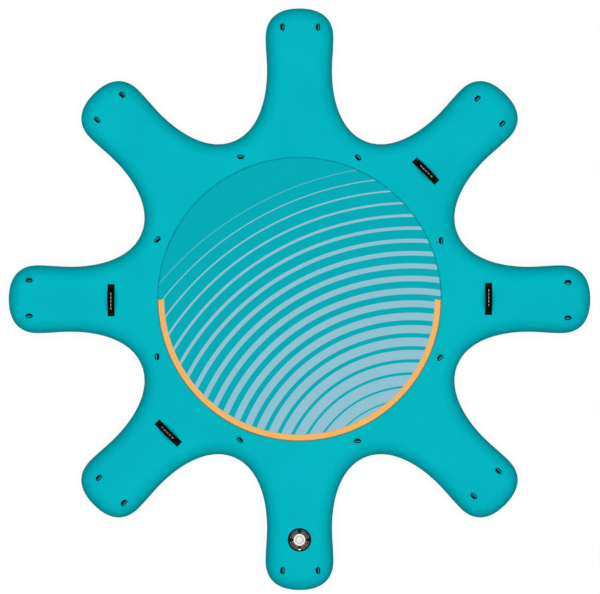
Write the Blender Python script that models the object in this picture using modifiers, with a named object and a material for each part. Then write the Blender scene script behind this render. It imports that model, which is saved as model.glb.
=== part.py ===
"""Inflatable yoga platform: an eight-armed drop-stitch raft with a round foam deck.

Boards moor in the bays between the arms, tied to the rings. The origin is on the floor below
the middle of the raft, +Z is up, and the first arm points along +X. All sizes are in metres.
"""
import math

import bmesh
import bpy
from mathutils import Matrix, Vector
from mathutils.geometry import interpolate_bezier

# Hull
SPAN = 2.900
THICKNESS = 0.150
ARM_COUNT = 8
BAY_RADIUS = 0.8534
BAY_HANDLE = 0.138
NECK_FROM_TIP = 0.310
NECK_HALF_WIDTH = 0.1622
NECK_HANDLE = 0.133
TIP_LENGTH = 0.1455
TIP_HALF_WIDTH = 0.1693
TIP_FULLNESS = 0.647
RAIL_BULGE = 0.050
RAIL_LAP = 0.025
SKIN = 0.0012
WALL = 0.0018
LAYER_GAP = 0.0003
FLANK_STEPS = 4
SHOULDER_STEPS = 1
TIP_STEPS = 4
RAIL_STEPS = 4

# Drop-stitch core: two cloths held at their distance by threads, modelled as thin bundles
CLOTH = 0.0006
BUNDLE_RADIUS = 0.0025
BUNDLE_PITCH = 0.200
BUNDLE_SPREAD = 0.045

# Deck pad
PAD_MARGIN = 0.149
PAD_THICKNESS = 0.005
BORDER_WIDTH = 0.0315
PAD_STEPS = 72

# Tie-down rings
RING_WIRE = 0.005
RING_WIDTH = 0.036
RING_DEPTH = 0.0165
RING_CORNER = 0.002
RING_BOW = 0.0055
RING_BOW_STEPS = 4
RING_FROM_SIDE = 0.0813
RING_FROM_TIP = (0.1156, 0.1196, 0.0971, 0.1083, 0.1058, 0.1170, 0.1013, 0.1468)
RING_SIDEWAYS = (-0.004, -0.007, -0.0035, -0.007, -0.006, 0.010, 0.0035, 0.008)
RING_FROM_PAD = (0.0567, 0.0577, 0.0606, 0.0610, 0.0588, 0.0550, 0.0557, 0.0518)
RING_PAST_BAY = (0.0, 0.001, -0.001, -0.0045, -0.0075, -0.0055, -0.0035, -0.0005)
TAPE_WIDTH = 0.024
TAPE = 0.0012
TAPE_CLEARANCE = 0.0004
TAPE_TAIL = 0.004
TAPE_WRAP_DEG = 225
TAPE_STEPS = 5
TAPE_HOLE_STEPS = 6
TIE_PATCH_RADIUS = 0.022
TIE_PATCH_STEPS = 8
PATCH = 0.0009
BOND = 0.0003

# Carry handles: arm number, how far beyond the bay's bottom each one is, and how far off the arm's
# middle line
HANDLES = ((0, 0.086, 0.0015), (1, 0.041, 0.007), (4, 0.083, 0.005), (5, 0.0785, 0.009))
HANDLE_LENGTH = 0.160
HANDLE_WIDTH = 0.035
HANDLE_SEWN = 0.016
HANDLE_RISE = 0.0355
HANDLE_FOOT = 0.010
HANDLE_CROWN = 0.045
HANDLE_STRAP = 0.0018
GRIP_THICKNESS = 0.009
GRIP_END_THICKNESS = 0.004
GRIP_CROWN = 0.0108
GRIP_EDGE = 0.4
GRIP_START = 0.40
GRIP_SWELL = 0.6
GRIP_STEPS = 5
STRAP_STEPS = 4
HANDLE_PATCH_MARGIN = 0.018
HANDLE_PATCH_WIDTH = 0.056
HANDLE_PATCH_STEPS = 6

# Air valve
VALVE_ARM = 6
VALVE_FROM_TIP = 0.254
VALVE_PATCH_RADIUS = 0.0575
FLANGE_RADIUS = 0.0295
FLANGE_THICKNESS = 0.0026
FLANGE_EDGE = 0.0009
GASKET_THICKNESS = 0.0008
SOCKET_RADIUS = 0.0178
SOCKET_WALL = 0.0022
SOCKET_DEPTH = 0.030
SEAT_THICKNESS = 0.003
SEAT_RADIUS = 0.010
HUB_RADIUS = 0.0052
HUB_LENGTH = 0.0065
RIB_COUNT = 3
RIB_WIDTH = 0.0024
RIB_ROOT = 0.001
RIB_STEP = 0.0005
RIB_FROM_X_DEG = 30
STEM_RADIUS = 0.0026
STEM_CLEARANCE = 0.0004
POPPET_RADIUS = 0.0125
POPPET_THICKNESS = 0.0025
SEAL_THICKNESS = 0.0012
BUTTON_RADIUS = 0.0065
BUTTON_THICKNESS = 0.0032
BUTTON_EDGE = 0.0010
BUTTON_CAP = 0.0014
BUTTON_BELOW_FLANGE = 0.014
SPRING_WIRE = 0.0009
SPRING_TURNS = 4
SPRING_POINTS_PER_TURN = 8
NUT_RADIUS = 0.0285
NUT_THICKNESS = 0.006
CAP_RADIUS = 0.0240
CAP_THICKNESS = 0.0032
CAP_DOME = 0.0005
CAP_EDGE = 0.0012
CAP_PLUG_RADIUS = 0.0162
CAP_PLUG_WALL = 0.0020
CAP_PLUG_DEPTH = 0.0085
CAP_SEAL_HEIGHT = 0.0012
CAP_SEAL_DEPTH = 0.0006
CAP_SEAL_PROUD = 0.0006
TETHER_THICKNESS = 0.0011
TETHER_RADIUS = 0.0205
TETHER_WIDTH = 0.008
TETHER_PIN_RADIUS = 0.0009
TETHER_PIN_FROM_FLANGE = 0.0040
TETHER_RING_WIDTH = 0.0022
TETHER_STRAP_STEP = 0.00005
EAR_THICKNESS = 0.0018
EAR_STEPS = 4
TURNED_STEPS = 20
SMALL_STEPS = 12

# Points closer than this are one point
WELD = 0.00001

# Places worked out from the sizes above
TIP_RADIUS = SPAN / 2
ARM_ANGLE = math.tau / ARM_COUNT
DECK = THICKNESS
PAD_RADIUS = BAY_RADIUS - PAD_MARGIN
PATCH_TOP = DECK + PATCH
INNER_PAD_RADIUS = PAD_RADIUS - BORDER_WIDTH

TEAL = (0.0, 0.462, 0.527)
PAD_TEAL = (0.002, 0.413, 0.474)
ORANGE = (0.855, 0.479, 0.165)
NEAR_BLACK = (0.012, 0.013, 0.014)
DARK_STEEL = (0.09, 0.095, 0.10)
WHITE = (0.80, 0.80, 0.78)
GREY = (0.55, 0.56, 0.56)
PALE = (0.70, 0.72, 0.72)


def clear_scene():
    for scene_object in list(bpy.data.objects):
        bpy.data.objects.remove(scene_object, do_unlink=True)


def new_collection(name):
    collection = bpy.data.collections.new(name)
    bpy.context.scene.collection.children.link(collection)
    return collection


clear_scene()
PLATFORM = new_collection("inflatable_yoga_platform")
CUTTERS = new_collection("cutters")


def material(name, colour, roughness, metallic=0.0):
    finish = bpy.data.materials.new(name)
    finish.use_nodes = True
    shader = finish.node_tree.nodes["Principled BSDF"]
    shader.inputs["Base Color"].default_value = (*colour, 1.0)
    shader.inputs["Roughness"].default_value = roughness
    shader.inputs["Metallic"].default_value = metallic
    return finish


COATED_FABRIC = material("coated_fabric", TEAL, 0.45)
THREAD = material("thread", PALE, 0.80)
PAD_FOAM = material("pad_foam", PAD_TEAL, 0.85)
BORDER_FOAM = material("border_foam", ORANGE, 0.85)
WEBBING = material("webbing", NEAR_BLACK, 0.75)
GRIP_CLOTH = material("grip_cloth", NEAR_BLACK, 0.85)
RING_STEEL = material("ring_steel", DARK_STEEL, 0.30, 1.0)
BLACK_PATCH = material("black_patch", NEAR_BLACK, 0.50)
WHITE_PLASTIC = material("white_plastic", WHITE, 0.40)
CAP_PLASTIC = material("cap_plastic", GREY, 0.40)
BLACK_RUBBER = material("black_rubber", NEAR_BLACK, 0.60)
SPRING_STEEL = material("spring_steel", (0.45, 0.45, 0.45), 0.30, 1.0)


def add(name, mesh, finish, smooth_deg=40, place=None):
    """A named piece of the platform, shaded smooth up to an edge angle."""
    piece = bpy.data.objects.new(name, mesh)
    PLATFORM.objects.link(piece)
    if not mesh.materials:
        mesh.materials.append(finish)
    if smooth_deg:
        mesh.shade_smooth()
        mesh.set_sharp_from_angle(angle=math.radians(smooth_deg))
    if place is not None:
        piece.matrix_world = place
    return piece


def evaluated_mesh(source):
    """The mesh of a curve or of an object with modifiers, welded and facing out, without its object."""
    bpy.context.view_layer.update()
    graph = bpy.context.evaluated_depsgraph_get()
    mesh = bpy.data.meshes.new_from_object(source.evaluated_get(graph))
    matrix = source.matrix_world.copy()
    bpy.data.objects.remove(source, do_unlink=True)
    shape = bmesh.new()
    shape.from_mesh(mesh)
    bmesh.ops.remove_doubles(shape, verts=shape.verts, dist=WELD)
    bmesh.ops.transform(shape, matrix=matrix, verts=shape.verts)
    bmesh.ops.recalc_face_normals(shape, faces=shape.faces)
    shape.to_mesh(mesh)
    shape.free()
    mesh.materials.clear()
    return mesh


def plate(name, outlines, bottom, top):
    """A flat piece between two heights; the outlines after the first are its holes."""
    curve = bpy.data.curves.new(name, "CURVE")
    curve.dimensions = "2D"
    curve.fill_mode = "BOTH"
    curve.extrude = (top - bottom) / 2
    for outline in outlines:
        spline = curve.splines.new("POLY")
        spline.points.add(len(outline) - 1)
        for point, (x, y) in zip(spline.points, outline):
            point.co = (x, y, 0, 1)
        spline.use_cyclic_u = True
    flat = bpy.data.objects.new(name, curve)
    PLATFORM.objects.link(flat)
    flat.location.z = (top + bottom) / 2
    return evaluated_mesh(flat)


def circle(radius, steps, centre=(0, 0), start=0.0):
    return [
        (
            centre[0] + radius * math.cos(start + math.tau * i / steps),
            centre[1] + radius * math.sin(start + math.tau * i / steps),
        )
        for i in range(steps)
    ]


def turned(name, profile, steps=TURNED_STEPS, closed=True):
    """A profile of (radius, height) points turned about Z, running down its outer side."""
    mesh = bpy.data.meshes.new(name)
    shape = bmesh.new()
    points = [shape.verts.new((radius, 0, height)) for radius, height in profile]
    for first, second in zip(points, points[1:]):
        shape.edges.new((first, second))
    if closed:
        shape.edges.new((points[-1], points[0]))
    shape.to_mesh(mesh)
    shape.free()
    lathe = bpy.data.objects.new(name, mesh)
    PLATFORM.objects.link(lathe)
    screw = lathe.modifiers.new("turn", "SCREW")
    screw.axis = "Z"
    screw.steps = steps
    screw.render_steps = steps
    screw.use_merge_vertices = True
    screw.merge_threshold = WELD
    screw.use_smooth_shade = True
    return evaluated_mesh(lathe)


def loft(name, sections):
    """A closed solid through equal rings of points, with its two ends capped."""
    shape = bmesh.new()
    rings = [[shape.verts.new(point) for point in section] for section in sections]
    for ring, following in zip(rings, rings[1:]):
        for i in range(len(ring)):
            j = (i + 1) % len(ring)
            shape.faces.new((ring[i], ring[j], following[j], following[i]))
    shape.faces.new(reversed(rings[0]))
    shape.faces.new(rings[-1])
    bmesh.ops.recalc_face_normals(shape, faces=shape.faces)
    mesh = bpy.data.meshes.new(name)
    shape.to_mesh(mesh)
    shape.free()
    return mesh


def copies(name, mesh, places):
    """One mesh holding a separate copy of a small piece at each place."""
    shape = bmesh.new()
    for place in places:
        copy = mesh.copy()
        copy.transform(place)
        shape.from_mesh(copy)
        bpy.data.meshes.remove(copy)
    joined = bpy.data.meshes.new(name)
    shape.to_mesh(joined)
    shape.free()
    return joined


def boolean(target, other, operation):
    step = target.modifiers.new(operation.lower(), "BOOLEAN")
    step.operation = operation
    step.object = other
    step.solver = "EXACT"


def as_tool(mesh):
    """An object that only joins or cuts another."""
    tool = bpy.data.objects.new("tool", mesh)
    CUTTERS.objects.link(tool)
    tool.hide_render = True
    tool.display_type = "WIRE"
    return tool


def box_mesh(size, centre):
    shape = bmesh.new()
    bmesh.ops.create_cube(shape, size=1.0)
    bmesh.ops.scale(shape, vec=size, verts=shape.verts)
    bmesh.ops.translate(shape, vec=centre, verts=shape.verts)
    mesh = bpy.data.meshes.new("box")
    shape.to_mesh(mesh)
    shape.free()
    return mesh


def on_deck(radius, angle, height=DECK, turn=0.0):
    """A place on the deck: its distance and bearing from the middle, and its own heading."""
    spot = Vector((radius * math.cos(angle), radius * math.sin(angle), height))
    return Matrix.Translation(spot) @ Matrix.Rotation(turn, 4, "Z")


# Outline of the hull


def bezier(start, start_handle, end_handle, end, steps):
    """Points and outward normals along one stretch of the upper edge of the first arm."""
    flat = [Vector((x, y, 0)) for x, y in (start, start_handle, end_handle, end)]
    points = interpolate_bezier(*flat, steps + 1)
    normals = []
    for i in range(steps + 1):
        t = i / steps
        along = (
            (1 - t) ** 2 * (flat[1] - flat[0])
            + 2 * t * (1 - t) * (flat[2] - flat[1])
            + t**2 * (flat[3] - flat[2])
        ).normalized()
        normals.append(Vector((-along.y, along.x, 0)))
    return list(zip(points, normals))


def half_arm():
    """The edge of the first arm from the bottom of the bay beside it to its tip."""
    half = ARM_ANGLE / 2
    bay = (BAY_RADIUS * math.cos(half), BAY_RADIUS * math.sin(half))
    bay_handle = (bay[0] + BAY_HANDLE * math.sin(half), bay[1] - BAY_HANDLE * math.cos(half))
    neck = (TIP_RADIUS - NECK_FROM_TIP, NECK_HALF_WIDTH)
    shoulder = (TIP_RADIUS - TIP_LENGTH, TIP_HALF_WIDTH)
    third = (shoulder[0] - neck[0]) / 3
    flank = bezier(bay, bay_handle, (neck[0] - NECK_HANDLE, neck[1]), neck, FLANK_STEPS)
    widening = bezier(
        neck, (neck[0] + third, neck[1]), (shoulder[0] - third, shoulder[1]), shoulder, SHOULDER_STEPS
    )
    tip = bezier(
        shoulder,
        (shoulder[0] + TIP_FULLNESS * TIP_LENGTH, shoulder[1]),
        (TIP_RADIUS, TIP_FULLNESS * TIP_HALF_WIDTH),
        (TIP_RADIUS, 0),
        TIP_STEPS,
    )
    return flank[:-1] + widening[:-1] + tip


def arm_edge():
    """The whole edge of the first arm, anticlockwise from one bay bottom to the next."""
    upper = half_arm()
    lower = [(Vector((p.x, -p.y, 0)), Vector((n.x, -n.y, 0))) for p, n in upper]
    return lower + upper[-2::-1]


def hull_outline(inset):
    """The outline of the whole hull, moved in from its widest line."""
    outline = []
    for arm in range(ARM_COUNT):
        turn = Matrix.Rotation(arm * ARM_ANGLE, 4, "Z")
        for point, normal in arm_edge()[:-1]:
            moved = turn @ (point - normal * inset)
            outline.append((moved.x, moved.y))
    return outline


# Air-tight skins, flat because the threads hold them

VALVE_RADIUS = TIP_RADIUS - VALVE_FROM_TIP
VALVE_PLACE = on_deck(VALVE_RADIUS, VALVE_ARM * ARM_ANGLE)
VALVE_CENTRE = (VALVE_PLACE.translation.x, VALVE_PLACE.translation.y)
SKIN_HOLE_RADIUS = SOCKET_RADIUS + SOCKET_WALL + LAYER_GAP

skin_outline = hull_outline(RAIL_BULGE)
valve_hole = circle(SKIN_HOLE_RADIUS, TURNED_STEPS, VALVE_CENTRE)
skin_mesh = plate("top_skin", (skin_outline, valve_hole), DECK - SKIN, DECK)
TOP_SKIN = add("top_skin", skin_mesh, COATED_FABRIC)
add("bottom_skin", plate("bottom_skin", (skin_outline,), 0, SKIN), COATED_FABRIC)


# Side wall, a band for each arm that laps inside the skins and bulges between them


def wall_profile():
    """The band's section, as distances in from the widest line and heights."""
    low = SKIN + LAYER_GAP
    middle = THICKNESS / 2
    rise = middle - low
    lap_end = RAIL_BULGE + RAIL_LAP
    angles = [math.pi / 2 - math.pi * i / RAIL_STEPS for i in range(RAIL_STEPS + 1)]
    outer = [(RAIL_BULGE * (1 - math.cos(a)), middle + rise * math.sin(a)) for a in angles]
    inner = [
        (
            RAIL_BULGE - (RAIL_BULGE - WALL) * math.cos(a),
            middle + (rise - WALL) * math.sin(a),
        )
        for a in angles
    ]
    outer = [(lap_end, middle + rise), *outer, (lap_end, low)]
    inner = [(lap_end, middle + rise - WALL), *inner, (lap_end, low + WALL)]
    return outer + inner[::-1]


def side_wall(arm):
    turn = Matrix.Rotation(arm * ARM_ANGLE, 4, "Z")
    edge = arm_edge()
    # The ends stop just short of the next band
    for end in (0, -1):
        point, normal = edge[end]
        across = Vector((-normal.y, normal.x, 0))
        side = 1 if end == 0 else -1
        edge[end] = (point + across * side * LAYER_GAP / 2, normal)
    profile = wall_profile()
    sections = []
    for point, normal in edge:
        section = []
        for inward, height in profile:
            spot = point - normal * inward
            section.append(turn @ Vector((spot.x, spot.y, height)))
        sections.append(section)
    return loft("side_wall", sections)


for arm_number in range(ARM_COUNT):
    add(f"side_wall_{arm_number + 1}", side_wall(arm_number), COATED_FABRIC)


# Drop-stitch core, with its threads on rings in the middle and in pairs along the arms


def bundle_places():
    places = []
    ring_count = int((BAY_RADIUS - RAIL_BULGE - RAIL_LAP) / BUNDLE_PITCH)
    for ring in range(1, ring_count + 1):
        count = ARM_COUNT * ((ring + 1) // 2)
        for i in range(count):
            angle = math.tau * (i + 0.5 * (ring % 2)) / count
            places.append((ring * BUNDLE_PITCH, angle, 0.0))
    station = (ring_count + 1) * BUNDLE_PITCH
    while station < TIP_RADIUS - TIP_LENGTH:
        for arm in range(ARM_COUNT):
            for side in (-1, 1):
                places.append((station, arm * ARM_ANGLE, side * BUNDLE_SPREAD))
        station += BUNDLE_PITCH
    return places


def bundles(low, high):
    bundle = bmesh.new()
    bmesh.ops.create_cone(
        bundle,
        cap_ends=True,
        segments=3,
        radius1=BUNDLE_RADIUS,
        radius2=BUNDLE_RADIUS,
        depth=high - low,
    )
    mesh = bpy.data.meshes.new("bundle")
    bundle.to_mesh(mesh)
    bundle.free()
    places = []
    keep_away = NUT_RADIUS + 2 * BUNDLE_RADIUS
    middle = (low + high) / 2
    for radius, angle, side in bundle_places():
        place = on_deck(radius, angle, middle, angle) @ Matrix.Translation((0, side, 0))
        if (place.translation.xy - VALVE_PLACE.translation.xy).length > keep_away:
            places.append(place)
    return copies("bundles", mesh, places)


def drop_stitch_core():
    """The lower cloth with its threads standing on it, and the upper cloth that they reach."""
    outline = hull_outline(RAIL_BULGE + RAIL_LAP + LAYER_GAP)
    low = SKIN + LAYER_GAP
    high = THICKNESS - low
    core = add("drop_stitch_core", plate("core", (outline,), low, low + CLOTH), THREAD, smooth_deg=0)
    boolean(core, as_tool(bundles(low + CLOTH / 2, high - CLOTH - LAYER_GAP)), "UNION")
    upper_cloth = plate("core_upper_cloth", (outline, valve_hole), high - CLOTH, high)
    add("core_upper_cloth", upper_cloth, THREAD, smooth_deg=0)


drop_stitch_core()


# Deck pad, with the border let in round its lower half


def half_circle(radius, start, steps):
    return [
        (
            radius * math.cos(start + math.pi * i / steps),
            radius * math.sin(start + math.pi * i / steps),
        )
        for i in range(steps + 1)
    ]


half_steps = PAD_STEPS // 2
pad_low = DECK + LAYER_GAP
pad_outline = half_circle(PAD_RADIUS, 0, half_steps) + half_circle(
    INNER_PAD_RADIUS - LAYER_GAP, math.pi, half_steps
)
border_outline = [
    (x, y - LAYER_GAP) for x, y in half_circle(PAD_RADIUS - LAYER_GAP, math.pi, half_steps)
] + [(x, y - LAYER_GAP) for x, y in half_circle(INNER_PAD_RADIUS, math.pi, half_steps)[::-1]]
add("deck_pad", plate("deck_pad", (pad_outline,), pad_low, pad_low + PAD_THICKNESS), PAD_FOAM)
add(
    "deck_pad_border",
    plate("deck_pad_border", (border_outline,), pad_low, pad_low + PAD_THICKNESS),
    BORDER_FOAM,
)


# Tie-down rings, each in a loop of webbing on a patch. A ring's own X runs from its bar to its bow

BAR_HEIGHT = PATCH_TOP - BOND + TAPE + TAPE_CLEARANCE + RING_WIRE / 2
BOW_DISTANCE = RING_DEPTH - RING_WIRE
LOOP_RADIUS = RING_WIRE / 2 + TAPE_CLEARANCE
BOW_DROP = math.asin((BAR_HEIGHT - PATCH_TOP - LAYER_GAP - RING_WIRE / 2) / BOW_DISTANCE)
BAR_FROM_CENTRE = (BOW_DISTANCE + RING_WIRE / 2 - LOOP_RADIUS - TAPE - TAPE_TAIL) / 2


def ring_places():
    """Where each ring's bar is and which way its bow points, seen from above."""
    places = []
    for arm in range(ARM_COUNT):
        bearing = arm * ARM_ANGLE
        heading = bearing - math.pi / 2 if arm < ARM_COUNT / 2 else bearing + math.pi / 2
        for side in (1, -1):
            across = side * (TIP_HALF_WIDTH - RING_FROM_SIDE) + RING_SIDEWAYS[arm]
            middle = Vector((TIP_RADIUS - RING_FROM_TIP[arm], across, 0))
            places.append((Matrix.Rotation(bearing, 4, "Z") @ middle, heading))
    for bay in range(ARM_COUNT):
        bearing = (bay + 0.5) * ARM_ANGLE
        middle = Vector((PAD_RADIUS + RING_FROM_PAD[bay], RING_PAST_BAY[bay], 0))
        places.append((Matrix.Rotation(bearing, 4, "Z") @ middle, bay * ARM_ANGLE))
    turned_places = []
    for spot, heading in places:
        face = Matrix.Translation((spot.x, spot.y, 0)) @ Matrix.Rotation(heading, 4, "Z")
        turned_places.append(face)
    return turned_places


def ring_mesh():
    """A D-shaped ring of wire in its own XY plane, with the bar on the Y axis."""
    half = (RING_WIDTH - RING_WIRE) / 2
    path = [(0, -half + RING_CORNER), (RING_CORNER, -half)]
    bow_centre = BOW_DISTANCE - RING_BOW
    for i in range(RING_BOW_STEPS + 1):
        angle = -math.pi / 2 + math.pi * i / RING_BOW_STEPS
        path.append((bow_centre + RING_BOW * math.cos(angle), half * math.sin(angle)))
    path += [(RING_CORNER, half), (0, half - RING_CORNER)]
    curve = bpy.data.curves.new("d_ring", "CURVE")
    curve.dimensions = "3D"
    curve.bevel_depth = RING_WIRE / 2
    curve.bevel_resolution = 1
    spline = curve.splines.new("POLY")
    spline.points.add(len(path) - 1)
    for point, (x, y) in zip(spline.points, path):
        point.co = (x, y, 0, 1)
    spline.use_cyclic_u = True
    wire = bpy.data.objects.new("d_ring", curve)
    PLATFORM.objects.link(wire)
    return evaluated_mesh(wire)


def tape_mesh():
    """The webbing folded round a ring's bar, its two layers sewn together behind it."""
    outer = LOOP_RADIUS + TAPE
    tail = -outer - TAPE_TAIL
    path = [(tail, -outer)]
    for i in range(TAPE_STEPS + 1):
        angle = math.radians(-90 + TAPE_WRAP_DEG * i / TAPE_STEPS)
        path.append((outer * math.cos(angle), outer * math.sin(angle)))
    path += [(-outer - TAPE, 2 * TAPE - outer), (tail, 2 * TAPE - outer)]
    mesh = plate("tape", (path, circle(LOOP_RADIUS, TAPE_HOLE_STEPS)), -TAPE_WIDTH / 2, TAPE_WIDTH / 2)
    mesh.transform(Matrix.Rotation(math.pi / 2, 4, "X"))
    return mesh


def disc_mesh(radius, low, high, steps):
    return plate("disc", (circle(radius, steps, start=math.pi / steps),), low, high)


ring = ring_mesh()
tilt = Matrix.Rotation(BOW_DROP, 4, "Y")
bar_shift = Matrix.Translation((-BAR_FROM_CENTRE, 0, BAR_HEIGHT))
ring_faces = ring_places()
for number, face in enumerate(ring_faces, start=1):
    add(f"d_ring_{number:02d}", ring, RING_STEEL, place=face @ bar_shift @ tilt)
tie_patch = disc_mesh(TIE_PATCH_RADIUS, DECK - SKIN / 2, PATCH_TOP, TIE_PATCH_STEPS)
boolean(TOP_SKIN, as_tool(copies("tie_patches", tie_patch, ring_faces)), "UNION")
tape_places = [face @ bar_shift for face in ring_faces]
boolean(TOP_SKIN, as_tool(copies("tapes", tape_mesh(), tape_places)), "UNION")


# Carry handles. A handle's own X runs along its webbing, and it rocks about that line

STRAP_HEIGHT = LAYER_GAP + PATCH - BOND + HANDLE_STRAP / 2
FOOT = HANDLE_LENGTH / 2 - HANDLE_SEWN


def handle_path(t):
    """Distance from the middle, height and slope along half of the handle, from the sewn end."""
    points = (
        Vector((FOOT, STRAP_HEIGHT)),
        Vector((FOOT - HANDLE_FOOT, STRAP_HEIGHT)),
        Vector((HANDLE_CROWN, STRAP_HEIGHT + HANDLE_RISE)),
        Vector((0, STRAP_HEIGHT + HANDLE_RISE)),
    )
    spot = (
        (1 - t) ** 3 * points[0]
        + 3 * t * (1 - t) ** 2 * points[1]
        + 3 * t**2 * (1 - t) * points[2]
        + t**3 * points[3]
    )
    along = (
        (1 - t) ** 2 * (points[1] - points[0])
        + 2 * t * (1 - t) * (points[2] - points[1])
        + t**2 * (points[3] - points[2])
    )
    return spot.x, spot.y, math.atan2(along.y, -along.x)


def strap_section(x, height, slope, width, thickness):
    rise = thickness / 2 / math.cos(slope)
    half = width / 2
    return [
        Vector((x, -half, height - rise)),
        Vector((x, half, height - rise)),
        Vector((x, half, height + rise)),
        Vector((x, -half, height + rise)),
    ]


def grip_section(x, height, slope, width, thickness):
    """A flat oval across the grip."""
    rise = thickness / 2 / math.cos(slope)
    half = width / 2
    edge = rise * GRIP_EDGE
    right = [(GRIP_CROWN, rise), (half, edge), (half, -edge), (GRIP_CROWN, -rise)]
    left = [(-across, up) for across, up in reversed(right)]
    return [Vector((x, across, height + up)) for across, up in right + left]


def grip_mesh():
    """The padded middle of the handle, thickest at its own middle."""
    halves = []
    for i in range(GRIP_STEPS + 1):
        t = GRIP_START + (1 - GRIP_START) * i / GRIP_STEPS
        x, height, slope = handle_path(t)
        fullness = math.sin(math.pi / 2 * i / GRIP_STEPS) ** GRIP_SWELL
        thickness = GRIP_END_THICKNESS + (GRIP_THICKNESS - GRIP_END_THICKNESS) * fullness
        halves.append(grip_section(x, height, slope, HANDLE_WIDTH, thickness))
    other = [[Vector((-p.x, p.y, p.z)) for p in section] for section in halves[:-1]]
    return loft("grip", halves + other[::-1])


def strap_mesh():
    """One sewn end of the webbing, from its tail to where the grip begins."""
    sections = [
        strap_section(HANDLE_LENGTH / 2, STRAP_HEIGHT, 0, HANDLE_WIDTH, HANDLE_STRAP)
    ]
    for i in range(STRAP_STEPS + 1):
        x, height, slope = handle_path(GRIP_START * i / STRAP_STEPS)
        if i == STRAP_STEPS:
            x += LAYER_GAP
        sections.append(strap_section(x, height, slope, HANDLE_WIDTH, HANDLE_STRAP))
    return loft("strap", sections)


def base_outline():
    """A long patch with round ends under both ends of the webbing."""
    radius = HANDLE_PATCH_WIDTH / 2
    end = HANDLE_LENGTH / 2 + HANDLE_PATCH_MARGIN - radius
    outline = []
    for i in range(HANDLE_PATCH_STEPS + 1):
        angle = -math.pi / 2 + math.pi * i / HANDLE_PATCH_STEPS
        outline.append((end + radius * math.cos(angle), radius * math.sin(angle)))
    return outline + [(-x, -y) for x, y in outline]


grip = grip_mesh()
for number, (handle_arm, beyond_bay, off_middle) in enumerate(HANDLES, start=1):
    bearing = handle_arm * ARM_ANGLE
    middle = on_deck(BAY_RADIUS + beyond_bay, bearing, DECK, bearing + math.pi / 2)
    place = middle @ Matrix.Translation((off_middle, 0, 0))
    add(f"handle_grip_{number}", grip, GRIP_CLOTH, place=place)
    base = plate("handle_base", (base_outline(),), LAYER_GAP, LAYER_GAP + PATCH)
    piece = add(f"handle_base_{number}", base, WEBBING, place=place)
    ends = [place, place @ Matrix.Rotation(math.pi, 4, "Z")]
    boolean(piece, as_tool(copies("webbing_ends", strap_mesh(), ends)), "UNION")


# Air valve. Heights here are from the deck, and its own Y points to the middle of the raft

GASKET_LOW = 2 * LAYER_GAP + PATCH
FLANGE_LOW = GASKET_LOW + GASKET_THICKNESS + LAYER_GAP
FLANGE_TOP = FLANGE_LOW + FLANGE_THICKNESS
TUBE_RADIUS = SOCKET_RADIUS + SOCKET_WALL
NUT_TOP = -SKIN - LAYER_GAP - CLOTH - LAYER_GAP
SEAT_LOW = FLANGE_TOP - SOCKET_DEPTH - SEAT_THICKNESS
SEAT_TOP = FLANGE_TOP - SOCKET_DEPTH
HUB_TOP = SEAT_LOW + HUB_LENGTH
BUTTON_TOP = FLANGE_TOP - BUTTON_BELOW_FLANGE
BUTTON_LOW = BUTTON_TOP - BUTTON_THICKNESS
TETHER_LOW = FLANGE_TOP + LAYER_GAP
TETHER_TOP = TETHER_LOW + TETHER_THICKNESS
CAP_LOW = TETHER_TOP + LAYER_GAP
VALVE_HEADING = VALVE_ARM * ARM_ANGLE + math.pi / 2
AT_VALVE = VALVE_PLACE @ Matrix.Rotation(VALVE_HEADING, 4, "Z")


def valve_piece(name, mesh, finish, smooth_deg=40):
    return add(name, mesh, finish, smooth_deg, AT_VALVE)


def ring_profile(inner, outer, low, high):
    return [(outer, high), (outer, low), (inner, low), (inner, high)]


valve_piece(
    "valve_patch",
    turned(
        "valve_patch",
        ring_profile(SKIN_HOLE_RADIUS, VALVE_PATCH_RADIUS, LAYER_GAP, LAYER_GAP + PATCH),
    ),
    BLACK_PATCH,
)
valve_piece(
    "valve_gasket",
    turned(
        "valve_gasket",
        ring_profile(SKIN_HOLE_RADIUS, NUT_RADIUS, GASKET_LOW, GASKET_LOW + GASKET_THICKNESS),
    ),
    BLACK_RUBBER,
)
valve_piece(
    "valve_nut",
    turned(
        "valve_nut",
        ring_profile(SKIN_HOLE_RADIUS, NUT_RADIUS, NUT_TOP - NUT_THICKNESS, NUT_TOP),
    ),
    WHITE_PLASTIC,
)


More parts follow.
